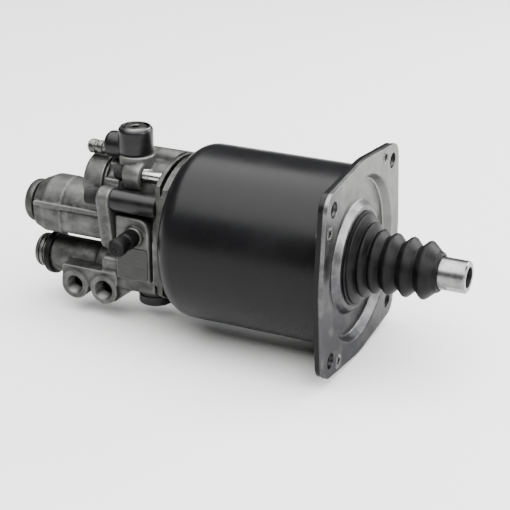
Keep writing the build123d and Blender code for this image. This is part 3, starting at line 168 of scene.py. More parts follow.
enamel_ripple_mm = 2.6
enamel_ripple_depth = 0.06
enamel_smear_mm = 30.0
enamel_edge_mm = 0.6
satin_enamel, tree, shader = new_finish("satin_black_stove_enamel")
place = add_node(tree, "ShaderNodeTexCoord")
smears = add_node(tree, "ShaderNodeTexNoise",
                  inputs={"Scale": 1000 / enamel_smear_mm, "Detail": 5.0, "Roughness": 0.6},
                  links={"Vector": place.outputs["Object"]})
gloss = add_node(tree, "ShaderNodeMapRange",
                 inputs={"From Min": 0.3, "From Max": 0.7, "To Min": 0.26, "To Max": 0.35},
                 links={"Value": smears.outputs["Fac"]})
ripple = add_node(tree, "ShaderNodeTexNoise", inputs={"Scale": 1000 / enamel_ripple_mm, "Detail": 1.0},
                  links={"Vector": place.outputs["Object"]})
corners = add_node(tree, "ShaderNodeBevel", settings={"samples": 4}, inputs={"Radius": enamel_edge_mm * mm})
relief = add_node(tree, "ShaderNodeBump", inputs={"Strength": 0.25, "Distance": enamel_ripple_depth * mm},
                  links={"Height": ripple.outputs["Fac"], "Normal": corners.outputs["Normal"]})
lay_surface(tree, shader, smears.outputs["Fac"], ((0.35, "#0B0B0C"), (0.72, "#101011")), gloss, relief)
shader.inputs["Specular IOR Level"].default_value = 0.12
finish_node("pneumatic_can", satin_enamel)


# Front plate: thick sheet steel pressed in one hit, then zinc plated. The rolled sheet's fine lines show
# through the satin zinc, with cloudy patches, and painted shade darkens it towards the lower near corner.
sheet_line_mm = 0.5       # drawn coarser than the real 0.1 mm, so that it shows
sheet_line_depth = 0.04
zinc_cloud_mm = 14.0
zinc_speck_mm = 1.1
zinc_edge_mm = 0.7
satin_zinc, tree, shader = new_finish("satin_zinc_plate")
place = add_node(tree, "ShaderNodeTexCoord")
stretch = add_node(tree, "ShaderNodeMapping", inputs={"Scale": (1.0, 1.0, 0.035)},
                   links={"Vector": place.outputs["Object"]})
lines = add_node(tree, "ShaderNodeTexNoise", inputs={"Scale": 1000 / sheet_line_mm, "Detail": 2.0},
                 links={"Vector": stretch.outputs["Vector"]})
clouds = add_node(tree, "ShaderNodeTexNoise",
                  inputs={"Scale": 1000 / zinc_cloud_mm, "Detail": 6.0, "Roughness": 0.62},
                  links={"Vector": place.outputs["Object"]})
specks = add_node(tree, "ShaderNodeTexVoronoi", inputs={"Scale": 1000 / zinc_speck_mm},
                  links={"Vector": place.outputs["Object"]})
# The slant runs from the lower near corner to the upper far one. The painted shade is measured along it in
# metres.
slant = add_node(tree, "ShaderNodeVectorMath", settings={"operation": "DOT_PRODUCT"},
                 inputs={1: (0.0, 0.62, 0.78)}, links={0: place.outputs["Object"]})
# Painted shade: this ramp darkens the zinc's tone towards the plate's lower near corner.
painted_shade_ramp = add_node(tree, "ShaderNodeMapRange",
                   inputs={"From Min": -0.055, "From Max": 0.06, "To Min": -0.28, "To Max": 0.24},
                   links={"Value": slant.outputs["Value"]})
clouds_and_painted_shade = add_node(tree, "ShaderNodeMath", settings={"operation": "ADD"},
                  links={0: clouds.outputs["Fac"], 1: painted_shade_ramp.outputs["Result"]})
sheet_skin = add_node(tree, "ShaderNodeMath", settings={"operation": "MULTIPLY_ADD"}, inputs={1: 0.5},
                      links={0: lines.outputs["Fac"], 2: specks.outputs["Distance"]})
gloss = add_node(tree, "ShaderNodeMapRange",
                 inputs={"From Min": 0.25, "From Max": 0.75, "To Min": 0.30, "To Max": 0.46},
                 links={"Value": clouds.outputs["Fac"]})
corners = add_node(tree, "ShaderNodeBevel", settings={"samples": 4}, inputs={"Radius": zinc_edge_mm * mm})
relief = add_node(tree, "ShaderNodeBump", inputs={"Strength": 0.22, "Distance": sheet_line_depth * mm},
                  links={"Height": sheet_skin.outputs["Value"], "Normal": corners.outputs["Normal"]})
lay_surface(tree, shader, clouds_and_painted_shade.outputs["Value"], ((0.25, "#434345"), (0.75, "#7C7C7B")), gloss, relief,
            metallic=1.0)
shader.inputs["Specular Tint"].default_value = linear_colour("#C4C4C4")
finish_node("front_plate", satin_zinc)


# Boot: moulded black rubber bellows in three parts for the joint: a base clipped in the plate's hole, six
# folds that stay fixed to the servo here though they close up as the rod goes in, and a cuff that grips the
# rod.
pole = 0.003              # the radius in mm of an end that closes to one point
merge_distance = 0.01     # in mm, wider than the ring of a pole


def rounded_outline(corners, steps=5):
    """An outline of (x, radius) points from corner points (x, radius, bend), with an arc at each bend."""
    points = []
    for i, (x, r, bend) in enumerate(corners):
        if bend == 0 or i in (0, len(corners) - 1):
            points.append((x, r))
            continue
        here = Vector((x, r))
        to_last = (Vector(corners[i - 1][:2]) - here).normalized()
        to_next = (Vector(corners[i + 1][:2]) - here).normalized()
        half = to_last.angle(to_next) / 2
        centre = here + (to_last + to_next).normalized() * bend / sin(half)
        start = here + to_last * bend * cos(half) / sin(half) - centre
        end = here + to_next * bend * cos(half) / sin(half) - centre
        sweep = start.angle_signed(end)
        for step in range(steps + 1):
            turn = Matrix.Rotation(-sweep * step / steps, 2)
            points.append(tuple(centre + turn @ start))
    return points


def turned_piece(name, points, segments=96):
    """A piece turned about the X axis: a ring extruded from point to point of (x, radius), in mm."""
    x, r = points[0]
    bpy.ops.object.select_all(action="DESELECT")
    bpy.ops.mesh.primitive_circle_add(vertices=segments, radius=r * mm, location=(x * mm, 0, 0),
                                      rotation=(0, pi / 2, 0))
    piece = bpy.context.object
    piece.name = name
    bpy.ops.object.transform_apply(location=True, rotation=True, scale=True)
    bpy.ops.object.mode_set(mode="EDIT")
    bpy.ops.mesh.select_all(action="SELECT")
    for next_x, next_r in points[1:]:
        bpy.ops.mesh.extrude_region_move(TRANSFORM_OT_translate={"value": ((next_x - x) * mm, 0, 0)})
        bpy.ops.transform.resize(value=(1, next_r / r, next_r / r), center_override=(next_x * mm, 0, 0))
        x, r = next_x, next_r
    bpy.ops.mesh.select_all(action="SELECT")
    bpy.ops.mesh.remove_doubles(threshold=merge_distance * mm)
    bpy.ops.mesh.normals_make_consistent(inside=False)
    bpy.ops.object.mode_set(mode="OBJECT")
    return piece


def select_only(piece):
    """Deselects everything else and makes one piece active."""
    bpy.ops.object.select_all(action="DESELECT")
    piece.select_set(True)
    bpy.context.view_layer.objects.active = piece


def apply_modifier(piece, kind, settings):
    """Puts one modifier on a piece and applies it."""
    modifier = piece.modifiers.new(kind.lower(), kind)
    for name, value in settings.items():
        setattr(modifier, name, value)
    select_only(piece)
    bpy.ops.object.modifier_apply(modifier=modifier.name)


def smooth(piece, degrees):
    """Smooth shading, with sharp edges kept past an angle."""
    select_only(piece)
    bpy.ops.object.shade_smooth_by_angle(angle=radians(degrees))


def put(piece, finish, body, slot, *replaced):
    """Gives a new piece its finish and the body it moves with, and hides the nodes it stands for. Its slot is
    not used.
    """
    piece.data.materials.clear()
    piece.data.materials.append(finish)
    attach(piece, body)
    if replaced:
        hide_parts(*replaced)


# Moulded rubber: nearly black and matt, with a greyer bloom in patches and a fine skin.
rubber_grain_mm = 0.7
rubber_grain_depth = 0.05
rubber_bloom_mm = 9.0
bellows_rubber, tree, shader = new_finish("moulded_black_rubber")
place = add_node(tree, "ShaderNodeTexCoord")
bloom = add_node(tree, "ShaderNodeTexNoise", inputs={"Scale": 1000 / rubber_bloom_mm, "Detail": 5.0},
                 links={"Vector": place.outputs["Object"]})
gloss = add_node(tree, "ShaderNodeMapRange",
                 inputs={"From Min": 0.3, "From Max": 0.7, "To Min": 0.40, "To Max": 0.56},
                 links={"Value": bloom.outputs["Fac"]})
skin = add_node(tree, "ShaderNodeTexNoise", inputs={"Scale": 1000 / rubber_grain_mm, "Detail": 3.0},
                links={"Vector": place.outputs["Object"]})
relief = add_node(tree, "ShaderNodeBump", inputs={"Strength": 0.3, "Distance": rubber_grain_depth * mm},
                  links={"Height": skin.outputs["Fac"]})
lay_surface(tree, shader, bloom.outputs["Fac"], ((0.4, "#050505"), (0.75, "#141415")), gloss, relief)
shader.inputs["Specular IOR Level"].default_value = 0.1

boot_wall = 1.6
boot_corners = [
    (0.1, 29.4, 0), (1.2, 29.9, 1.2), (3.6, 22.8, 0.5), (6.2, 25.4, 1.4), (9.2, 18.6, 0.6),
    (12.2, 21.6, 1.7), (16.2, 16.6, 0.8), (21.2, 20.5, 2.0), (26.7, 14.9, 0.8), (32.1, 20.1, 2.0),
    (38.0, 14.1, 0.8), (43.6, 19.4, 2.0), (50.3, 13.6, 0),
]
boot_folds = turned_piece("boot_folds", rounded_outline(boot_corners))
apply_modifier(boot_folds, "SOLIDIFY", {"thickness": boot_wall * mm, "offset": -1.0, "use_even_offset": True})
smooth(boot_folds, 50)
put(boot_folds, bellows_rubber, "servo", "black_rubber", "boot")
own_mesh(boot_folds)

boot_base = turned_piece("boot_base", rounded_outline([
    (0.1, 29.4, 0), (-1.0, 30.2, 0.4), (-1.4, 29.6, 0), (-1.4, 26.8, 0), (-4.0, 26.8, 0), (-4.0, 28.5, 0),
    (-5.0, 28.5, 0.4), (-5.8, 27.6, 0.4), (-5.8, 25.0, 0), (0.1, 25.0, 0), (0.1, 29.4, 0),
]))
smooth(boot_base, 35)
put(boot_base, bellows_rubber, "servo", "black_rubber", "boot")

boot_cuff = turned_piece("boot_cuff", rounded_outline([
    (50.3, 11.0, 0), (50.3, 13.6, 0), (51.2, 13.2, 0.3), (52.6, 12.6, 0.5), (52.9, 11.0, 0.3),
    (52.0, 10.6, 0), (48.6, 10.6, 0), (48.6, 12.0, 0), (50.3, 11.0, 0),
]))
smooth(boot_cuff, 35)
put(boot_cuff, bellows_rubber, "rod", "black_rubber", "boot")


# Push rod: one steel bar, turned, ground and plated bright, with a drilled socket and two spanner flats at
# its end. The grinding leaves fine rings round it that blur its highlights a little.
grind_ring_mm = 0.45      # drawn coarser than the real 0.1 mm, so that it shows
grind_ring_depth = 0.003
handling_mark_mm = 6.0
bar_edge_mm = 0.4
bright_steel, tree, shader = new_finish("bright_ground_steel")
place = add_node(tree, "ShaderNodeTexCoord")
stretch = add_node(tree, "ShaderNodeMapping", inputs={"Scale": (1.0, 0.02, 0.02)},
                   links={"Vector": place.outputs["Object"]})
rings = add_node(tree, "ShaderNodeTexNoise", inputs={"Scale": 1000 / grind_ring_mm, "Detail": 3.0},
                 links={"Vector": stretch.outputs["Vector"]})
marks = add_node(tree, "ShaderNodeTexNoise", inputs={"Scale": 1000 / handling_mark_mm, "Detail": 6.0},
                 links={"Vector": place.outputs["Object"]})
gloss = add_node(tree, "ShaderNodeMapRange",
                 inputs={"From Min": 0.3, "From Max": 0.7, "To Min": 0.27, "To Max": 0.35},
                 links={"Value": rings.outputs["Fac"]})
corners = add_node(tree, "ShaderNodeBevel", settings={"samples": 4}, inputs={"Radius": bar_edge_mm * mm})
relief = add_node(tree, "ShaderNodeBump", inputs={"Strength": 0.01, "Distance": grind_ring_depth * mm},
                  links={"Height": rings.outputs["Fac"], "Normal": corners.outputs["Normal"]})
lay_surface(tree, shader, marks.outputs["Fac"], ((0.3, "#5C5C5E"), (0.65, "#7E7E7D")), gloss, relief,
            metallic=1.0)
finish_node("push_rod", bright_steel)


# Main casting: aluminium cast in sand, so its skin is matt and grainy, with painted shade darkening its
# corners, its edges are soft, and only the ports, seats and joint faces are cut clean by a machine.
weld_distance = 0.002     # in mm, far less than the shortest edge


def copy_of(node, name):
    """A new piece with a CAD node's shape, its loose triangles merged into one skin."""
    piece = bpy.data.objects.new(name, nodes[node].data.copy())
    bpy.context.scene.collection.objects.link(piece)
    select_only(piece)
    bpy.ops.object.mode_set(mode="EDIT")
    bpy.ops.mesh.select_all(action="SELECT")
    bpy.ops.mesh.remove_doubles(threshold=weld_distance * mm)
    bpy.ops.object.mode_set(mode="OBJECT")
    return piece


def soft_casting(node, name, voxel_mm, rounds):
    """A CAD node's shape with the soft edges and corners of a casting."""
    piece = copy_of(node, name)
    apply_modifier(piece, "REMESH", {"mode": "VOXEL", "voxel_size": voxel_mm * mm, "use_smooth_shade": True})
    apply_modifier(piece, "SMOOTH", {"factor": 0.5, "iterations": rounds})
    return piece


def cast_finish(name, dark, light, low_gloss, high_gloss):
    """Cast aluminium: grainy and matt, with painted shade in its hollows, and rubbed bright on its edges."""
    grain_mm = 1.0
    grain_depth = 0.12
    lump_mm = 5.0
    lump_depth = 0.5
    patch_mm = 12.0
    finish, tree, shader = new_finish(name)
    place = add_node(tree, "ShaderNodeTexCoord")
    patches = add_node(tree, "ShaderNodeTexNoise",
                       inputs={"Scale": 1000 / patch_mm, "Detail": 8.0, "Roughness": 0.65},
                       links={"Vector": place.outputs["Object"]})
    edges = add_node(tree, "ShaderNodeNewGeometry")
    # Painted shade and wear: low pointiness darkens the hollows as painted shade, and high pointiness
    # lightens the edges as wear.
    worn_edges_and_painted_shade = add_node(tree, "ShaderNodeMapRange",
                      inputs={"From Min": 0.46, "From Max": 0.56, "To Min": -0.28, "To Max": 0.34},
                      links={"Value": edges.outputs["Pointiness"]})
    both = add_node(tree, "ShaderNodeMath", settings={"operation": "ADD"},
                    links={0: patches.outputs["Fac"], 1: worn_edges_and_painted_shade.outputs["Result"]})
    gloss = add_node(tree, "ShaderNodeMapRange",
                     inputs={"From Min": 0.2, "From Max": 0.9, "To Min": high_gloss, "To Max": low_gloss},
                     links={"Value": both.outputs["Value"]})
    grains = add_node(tree, "ShaderNodeTexNoise",
                      inputs={"Scale": 1000 / grain_mm, "Detail": 3.0, "Roughness": 0.6},
                      links={"Vector": place.outputs["Object"]})
    lumps = add_node(tree, "ShaderNodeTexNoise", inputs={"Scale": 1000 / lump_mm, "Detail": 2.0},
                     links={"Vector": place.outputs["Object"]})
    fine = add_node(tree, "ShaderNodeBump", inputs={"Strength": 0.45, "Distance": grain_depth * mm},
                    links={"Height": grains.outputs["Fac"]})
    relief = add_node(tree, "ShaderNodeBump", inputs={"Strength": 0.35, "Distance": lump_depth * mm},
                      links={"Height": lumps.outputs["Fac"], "Normal": fine.outputs["Normal"]})
    lay_surface(tree, shader, both.outputs["Value"], ((0.2, dark), (0.85, light)), gloss, relief,
                metallic=0.7)
    shader.inputs["Specular Tint"].default_value = linear_colour("#A8A8A8")
    return finish


# Sand-cast aluminium: mid grey, mottled, with pale worn edges and painted shade in its hollows.
sand_cast = cast_finish("sand_cast_aluminium", "#161616", "#666664", low_gloss=0.38, high_gloss=0.58)
main_casting = soft_casting("valve_housing", "main_casting", voxel_mm=0.75, rounds=4)
main_casting.data.materials.clear()
main_casting.data.materials.append(sand_cast)


# Ports: the oil port and the air port in the main casting's foot, each bored, tapped with a fine thread
# and given a chamfered mouth, so that their walls are cut metal in a cast boss.
def turn_and_place(piece, turn, place):
    """Turns a finished piece about the origin, in degrees, moves it in mm, and applies both."""
    select_only(piece)
    piece.rotation_euler = [radians(angle) for angle in turn]
    piece.location = [value * mm for value in place]
    bpy.ops.object.transform_apply(location=True, rotation=True, scale=True)


def turned_finish(name, dark, light, ring_mm, low_gloss, high_gloss):
    """A metal turned on a lathe: fine tool rings, with a slow drift in tone."""
    wave_scale_mm = 314       # the Wave texture's scale for one band in each millimetre
    ring_depth = 0.03
    drift_mm = 8.0
    edge_mm = 0.4
    finish, tree, shader = new_finish(name)
    place = add_node(tree, "ShaderNodeTexCoord")
    rings = add_node(tree, "ShaderNodeTexWave",
                     settings={"wave_type": "BANDS", "bands_direction": "X", "wave_profile": "SAW"},
                     inputs={"Scale": wave_scale_mm / ring_mm, "Distortion": 0.6, "Detail": 1.0},
                     links={"Vector": place.outputs["Object"]})
    drift = add_node(tree, "ShaderNodeTexNoise", inputs={"Scale": 1000 / drift_mm, "Detail": 6.0},
                     links={"Vector": place.outputs["Object"]})
    gloss = add_node(tree, "ShaderNodeMapRange", inputs={"To Min": low_gloss, "To Max": high_gloss},
                     links={"Value": drift.outputs["Fac"]})
    corners = add_node(tree, "ShaderNodeBevel", settings={"samples": 4}, inputs={"Radius": edge_mm * mm})
    relief = add_node(tree, "ShaderNodeBump", inputs={"Strength": 0.3, "Distance": ring_depth * mm},
                      links={"Height": rings.outputs["Fac"], "Normal": corners.outputs["Normal"]})
    lay_surface(tree, shader, drift.outputs["Fac"], ((0.3, dark), (0.7, light)), gloss, relief, metallic=1.0)
    return finish


# Tapped aluminium: fresh metal with the tool's rings, a little darker than a turned face.
tapped_aluminium = turned_finish("tapped_aluminium", "#3C3C3B", "#656563", ring_mm=0.4, low_gloss=0.36,
                                 high_gloss=0.5)
joint_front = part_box("housing_gasket")[1][0] / mm
rear_port_from_joint = 35.5
port_spacing = 23.0
port_radii = (5.75, 6.25)
port_face_y = -25.0
port_z = -47.0
port_lead = 1.0           # how far the cutter stands out of the port's face
chamfer_width = 1.9
chamfer_depth = 0.9
crest_clearance = 0.2     # how far the thread's crests stand back from the solid's plain bore
thread_depth = 0.7
tap_pitch = 1.5
tap_depth = 12.8
tap_point = 0.4
for number, bore in enumerate(port_radii):
    crest = bore + crest_clearance
    cut = [(-port_lead, pole), (-port_lead, crest + chamfer_width), (chamfer_depth, crest)]
    while cut[-1][0] < tap_depth - 2 * tap_pitch:
        start = cut[-1][0]
        cut += [(start + tap_pitch / 2, crest + thread_depth), (start + tap_pitch, crest)]
    cut += [(tap_depth, bore - tap_point), (tap_depth, pole)]
    cutter = turned_piece("port_cutter", cut, 64)
    cutter.data.materials.append(tapped_aluminium)
    port_x = joint_front - rear_port_from_joint + number * port_spacing
    turn_and_place(cutter, (0, 0, 90), (port_x, port_face_y, port_z))
    apply_modifier(main_casting, "BOOLEAN", {"operation": "DIFFERENCE", "object": cutter, "solver": "EXACT",
                                             "material_mode": "TRANSFER"})
    bpy.data.objects.remove(cutter)
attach(main_casting, "servo")
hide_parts("valve_housing")


# Upper casting: the hydraulic cylinder with its flange, cast in sand like the main one and bolted to it
# over a gasket.
upper_casting = soft_casting("hydraulic_cylinder", "upper_casting", voxel_mm=0.75, rounds=4)
put(upper_casting, sand_cast, "servo", "cast_aluminium", "hydraulic_cylinder")


# Cover and end cap: two small aluminium castings, one over the upper lobe and one in the cylinder's end.
# The cover's finish has a slightly different tone range, and the cap's finish is darker.
cover_cast = cast_finish("cover_cast_aluminium", "#1C1C1C", "#626260", low_gloss=0.40, high_gloss=0.58)
cover_casting = soft_casting("control_cover", "cover_casting", voxel_mm=0.5, rounds=3)
put(cover_casting, cover_cast, "servo", "cast_aluminium", "control_cover")
dark_cast = cast_finish("darker_cast_aluminium", "#161616", "#4A4A49", low_gloss=0.38, high_gloss=0.55)
end_cap_casting = soft_casting("cylinder_end_cap", "end_cap_casting", voxel_mm=0.5, rounds=2)
put(end_cap_casting, dark_cast, "servo", "cast_aluminium", "cylinder_end_cap")


# Ring flange and valve end cap: aluminium, turned all over, so they show fine rings from the tool. The
# flange is screwed to the can's rear wall, and the cap closes the lower cylinder.
# Painted shade: the flange gets a darker copy of turned aluminium, so that its rim, which faces down to the
# pale floor, stays dark.
shaded_aluminium = turned_finish("shaded_turned_aluminium", "#2C2C2B", "#4A4A48", ring_mm=0.5,
                                  low_gloss=0.34, high_gloss=0.5)
finish_node("ring_flange", shaded_aluminium)
finish_node("valve_end_cap", tapped_aluminium)


# Long bolts: steel socket-head bolts with black phosphated heads, zinc plated shanks and rolled threads.
# Four pull the lugs to the ring flange, and a fifth, with a larger head, goes through the sleeve.
def socket_head(name, head_radius, head_length, socket_radius, socket_depth):
    """A bolt head with its seat at the origin, knurled round its side, with a hexagon socket."""
    knurls = 72
    knurl_gap = 0.08
    knurl_waist = 0.955
    edge_mm = 0.25
    bpy.ops.object.select_all(action="DESELECT")
    bpy.ops.mesh.primitive_cylinder_add(vertices=knurls, radius=head_radius * mm, depth=head_length * mm,
                                        location=(-head_length / 2 * mm, 0, 0), rotation=(0, pi / 2, 0))
    head = bpy.context.object
    head.name = name
    bpy.ops.object.transform_apply(location=True, rotation=True, scale=True)
    bpy.ops.object.mode_set(mode="EDIT")
    skin = bmesh.from_edit_mesh(head.data)
    for face in skin.faces:
        face.select = abs(face.normal.x) < 0.5
    bmesh.update_edit_mesh(head.data)
    bpy.ops.mesh.inset(thickness=knurl_gap * mm, use_individual=True)
    bpy.ops.transform.resize(value=(1, knurl_waist, knurl_waist), center_override=(0, 0, 0))
    bpy.ops.object.mode_set(mode="OBJECT")
    bpy.ops.object.select_all(action="DESELECT")
    bpy.ops.mesh.primitive_cylinder_add(vertices=6, radius=socket_radius * mm, depth=2 * socket_depth * mm,
                                        location=(-head_length * mm, 0, 0), rotation=(0, pi / 2, 0))
    cutter = bpy.context.object
    apply_modifier(head, "BOOLEAN", {"operation": "DIFFERENCE", "object": cutter, "solver": "EXACT"})
    bpy.data.objects.remove(cutter)
    apply_modifier(head, "BEVEL", {"width": edge_mm * mm, "segments": 2, "limit_method": "ANGLE",
                                   "angle_limit": radians(60)})
    return head


def screw_thread(name, radius, pitch, turns):
    """A V thread round the X axis, from x = 0 forward, with closed ends."""
    ridge_radius = 0.62 * pitch
    bpy.ops.object.select_all(action="DESELECT")
    bpy.ops.mesh.primitive_circle_add(vertices=3, radius=ridge_radius * mm, fill_type="NGON",
                                      location=(0, 0, radius * mm), rotation=(pi / 2, 0, 0))
    thread = bpy.context.object
    thread.name = name
    bpy.ops.object.transform_apply(location=True, rotation=True, scale=True)
    apply_modifier(thread, "SCREW", {"axis": "X", "screw_offset": pitch * mm, "iterations": turns,
                                     "steps": 32, "render_steps": 32, "use_normal_calculate": True})
    bpy.ops.object.mode_set(mode="EDIT")
    bpy.ops.mesh.select_all(action="DESELECT")
    bpy.ops.mesh.select_non_manifold()
    bpy.ops.mesh.fill()
    bpy.ops.mesh.select_all(action="SELECT")
    bpy.ops.mesh.normals_make_consistent(inside=False)
    bpy.ops.object.mode_set(mode="OBJECT")
    return thread


def placed_copies(piece, name, places):
    """Copies of a piece at places (x, y, z) in mm, each with its own mesh, joined in one. The piece goes."""
    copies = []
    for place in places:
        twin = bpy.data.objects.new(name, piece.data.copy())
        bpy.context.scene.collection.objects.link(twin)
        twin.location = [value * mm for value in place]
        copies.append(twin)
    bpy.data.objects.remove(piece)
    bpy.ops.object.select_all(action="DESELECT")
    for twin in copies:
        twin.select_set(True)
    bpy.context.view_layer.objects.active = copies[0]
    bpy.ops.object.transform_apply(location=True, rotation=True, scale=True)
    if len(copies) > 1:
        bpy.ops.object.join()
    joined = bpy.context.object
    joined.name = name
    return joined


def mottled_finish(name, dark, light, metallic, low_gloss, high_gloss, patch_mm, grain_mm, grain_depth):
    """A finish whose tone and gloss drift over patches, with a fine grain."""
    edge_mm = 0.4
    finish, tree, shader = new_finish(name)
    place = add_node(tree, "ShaderNodeTexCoord")
    patches = add_node(tree, "ShaderNodeTexNoise", inputs={"Scale": 1000 / patch_mm, "Detail": 6.0},
                       links={"Vector": place.outputs["Object"]})
    gloss = add_node(tree, "ShaderNodeMapRange", inputs={"To Min": low_gloss, "To Max": high_gloss},
                     links={"Value": patches.outputs["Fac"]})
    grain = add_node(tree, "ShaderNodeTexNoise", inputs={"Scale": 1000 / grain_mm, "Detail": 3.0},
                     links={"Vector": place.outputs["Object"]})
    corners = add_node(tree, "ShaderNodeBevel", settings={"samples": 4}, inputs={"Radius": edge_mm * mm})
    relief = add_node(tree, "ShaderNodeBump", inputs={"Strength": 0.4, "Distance": grain_depth * mm},
                      links={"Height": grain.outputs["Fac"], "Normal": corners.outputs["Normal"]})
    lay_surface(tree, shader, patches.outputs["Fac"], ((0.3, dark), (0.7, light)), gloss, relief, metallic)
    return finish


# Phosphated steel is dull and nearly black. Bright zinc plating is pale and smooth, with soft clouds.
black_phosphate = mottled_finish("black_phosphated_steel", "#0B0B0C", "#191919", metallic=0.6, low_gloss=0.3,
                                 high_gloss=0.45, patch_mm=4.0, grain_mm=0.4, grain_depth=0.02)
bright_zinc = mottled_finish("zinc_plated_steel", "#8A8A88", "#B0B0AD", metallic=1.0, low_gloss=0.18,
                             high_gloss=0.30, patch_mm=5.0, grain_mm=0.8, grain_depth=0.004)
ring_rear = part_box("ring_flange")[0][0] / mm
lug_to_ring = 16.5
lug_length = 13.0
lug_rear = ring_rear - lug_to_ring - lug_length
bolt_circle = 42.0
bolt_angles = (113.8, 66.2, 19.3, -62.2)
bolt_places = [(bolt_circle * cos(radians(a)), bolt_circle * sin(radians(a))) for a in bolt_angles]
head_sizes = {"head_radius": 5.2, "head_length": 7.2, "socket_radius": 2.9, "socket_depth": 3.6}
head = socket_head("bolt_heads", **head_sizes)
bolt_heads = placed_copies(head, "long_bolt_heads", [(lug_rear, y, z) for y, z in bolt_places])
smooth(bolt_heads, 30)
put(bolt_heads, black_phosphate, "servo", "dark_steel", "long_bolts")

sleeve_place = (-26.7, 22.0)
flange_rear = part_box("flange_bolts")[0][0] / mm + head_sizes["head_length"]
head = socket_head("sleeve_head", head_radius=6.0, head_length=9.4, socket_radius=3.4, socket_depth=4.4)
sleeve_head = placed_copies(head, "sleeve_bolt_head", [(flange_rear, *sleeve_place)])
smooth(sleeve_head, 30)
put(sleeve_head, black_phosphate, "servo", "dark_steel", "long_bolts")

shank_radius = 3.9
shank_chamfer = 0.3
shank_end_gap = 0.2
shank_length = ring_rear - lug_rear - shank_end_gap
shank = turned_piece("bolt_shank", [
    (0.0, pole), (0.0, shank_radius - shank_chamfer), (shank_chamfer, shank_radius),
    (shank_length - shank_chamfer, shank_radius), (shank_length, shank_radius - shank_chamfer),
    (shank_length, pole)], 48)
bolt_shanks = placed_copies(shank, "long_bolt_shanks", [(lug_rear, y, z) for y, z in bolt_places])
smooth(bolt_shanks, 40)
put(bolt_shanks, bright_zinc, "servo", "dark_steel", "long_bolts")

thread_gap = 0.8
thread_start = lug_rear + lug_length + thread_gap
thread = screw_thread("bolt_thread", radius=3.75, pitch=1.25, turns=4)
bolt_threads = placed_copies(thread, "long_bolt_threads", [(thread_start, y, z) for y, z in bolt_places])
smooth(bolt_threads, 40)
put(bolt_threads, bright_zinc, "servo", "dark_steel", "long_bolts")


# Flange bolts: two short socket-head bolts of the same kind as the long ones. They hold the upper
# casting's flange to the main casting, and only their heads show.
flange_bolt_places = ((23.5, 19.0), (27.0, -10.0))
head = socket_head("flange_bolt_heads", **head_sizes)
flange_heads = placed_copies(head, "flange_bolt_heads", [(flange_rear, y, z) for y, z in flange_bolt_places])
smooth(flange_heads, 30)
put(flange_heads, black_phosphate, "servo", "dark_steel", "flange_bolts")


# Sleeve and lower plug: steel, turned and blackened in an oil bath, so they are smooth, dark and a little
# oily. The sleeve spaces its bolt, and the plug closes the main casting's bottom with a grooved rim.
oil_black = mottled_finish("oil_blackened_steel", "#0D0D0E", "#1A1A1B", metallic=0.6, low_gloss=0.26,
                           high_gloss=0.42, patch_mm=7.0, grain_mm=0.5, grain_depth=0.012)
finish_node("bolt_sleeve", oil_black)
plug_from_ring = 16.0
plug_y = -5.0
plug_seat_z = -46.0
lower_plug = turned_piece("lower_plug_turned", rounded_outline([
    (-10.2, pole, 0), (-10.2, 5.0, 0), (-9.6, 5.4, 0), (-9.6, 6.8, 0), (-10.2, 7.2, 0), (-10.2, 12.2, 1.6),
    (-3.6, 12.2, 0.4), (-3.2, 11.3, 0), (-2.4, 11.3, 0), (-2.0, 12.2, 0.3), (-0.4, 12.2, 0.3),
    (0.0, 11.4, 0), (0.0, pole, 0)]))
turn_and_place(lower_plug, (0, -90, 0), (ring_rear - plug_from_ring, plug_y, plug_seat_z))
smooth(lower_plug, 35)
put(lower_plug, oil_black, "servo", "dark_steel", "lower_plug")


# Elbow fitting: a forged steel body, blackened, with a thick rolled rim on top and a round arm to the rear,
# screwed into the main casting. Body and arm are turned pieces that run into each other.
elbow_from_ring = 27.1
elbow_x = ring_rear - elbow_from_ring
elbow_y = -8.0
elbow_seat_z = 50.0
elbow_body = turned_piece("elbow_body", rounded_outline([
    (-4.5, pole, 0), (-4.5, 5.5, 0), (0.0, 5.5, 0), (0.0, 11.0, 0), (1.6, 11.7, 0.6), (18.2, 11.7, 3.0),
    (18.2, 8.9, 0.8), (16.4, 8.5, 0.2), (16.4, pole, 0)]))
turn_and_place(elbow_body, (0, -90, 0), (elbow_x, elbow_y, elbow_seat_z))
smooth(elbow_body, 35)
put(elbow_body, oil_black, "servo", "dark_steel", "elbow_fitting")
arm_above_seat = 3.6
arm_z = elbow_seat_z + arm_above_seat
arm_length = 21.0
arm_radius = 8.9
arm_rounding = 3.4
elbow_arm = turned_piece("elbow_arm", rounded_outline([
    (-arm_length, pole, 0), (-arm_length, arm_radius, arm_rounding), (0.0, arm_radius, 0), (0.0, pole, 0)]))
turn_and_place(elbow_arm, (0, 0, 0), (elbow_x, elbow_y, arm_z))
smooth(elbow_arm, 35)
put(elbow_arm, oil_black, "servo", "dark_steel", "elbow_fitting")


# Elbow plug: a turned steel plug screwed into the fitting's top, with a chamfered face and a hexagon
# socket. Round it the fitting's rim is rubbed bright.
# Old zinc plating has gone grey and a little rough.
dull_zinc = mottled_finish("dull_zinc_plated_steel", "#414140", "#666664", metallic=1.0, low_gloss=0.28,
                           high_gloss=0.42, patch_mm=3.0, grain_mm=0.4, grain_depth=0.01)
elbow_plug = turned_piece("elbow_plug_face", rounded_outline([
    (9.5, pole, 0), (9.5, 7.7, 0), (17.4, 7.7, 0.3), (18.1, 6.9, 0.3), (18.1, 3.6, 0.3), (17.5, 3.0, 0.1),
    (10.0, 2.9, 0), (10.0, pole, 0)]), 64)
turn_and_place(elbow_plug, (0, -90, 0), (elbow_x, elbow_y, elbow_seat_z))
smooth(elbow_plug, 35)
put(elbow_plug, dull_zinc, "servo", "zinc", "elbow_plug")
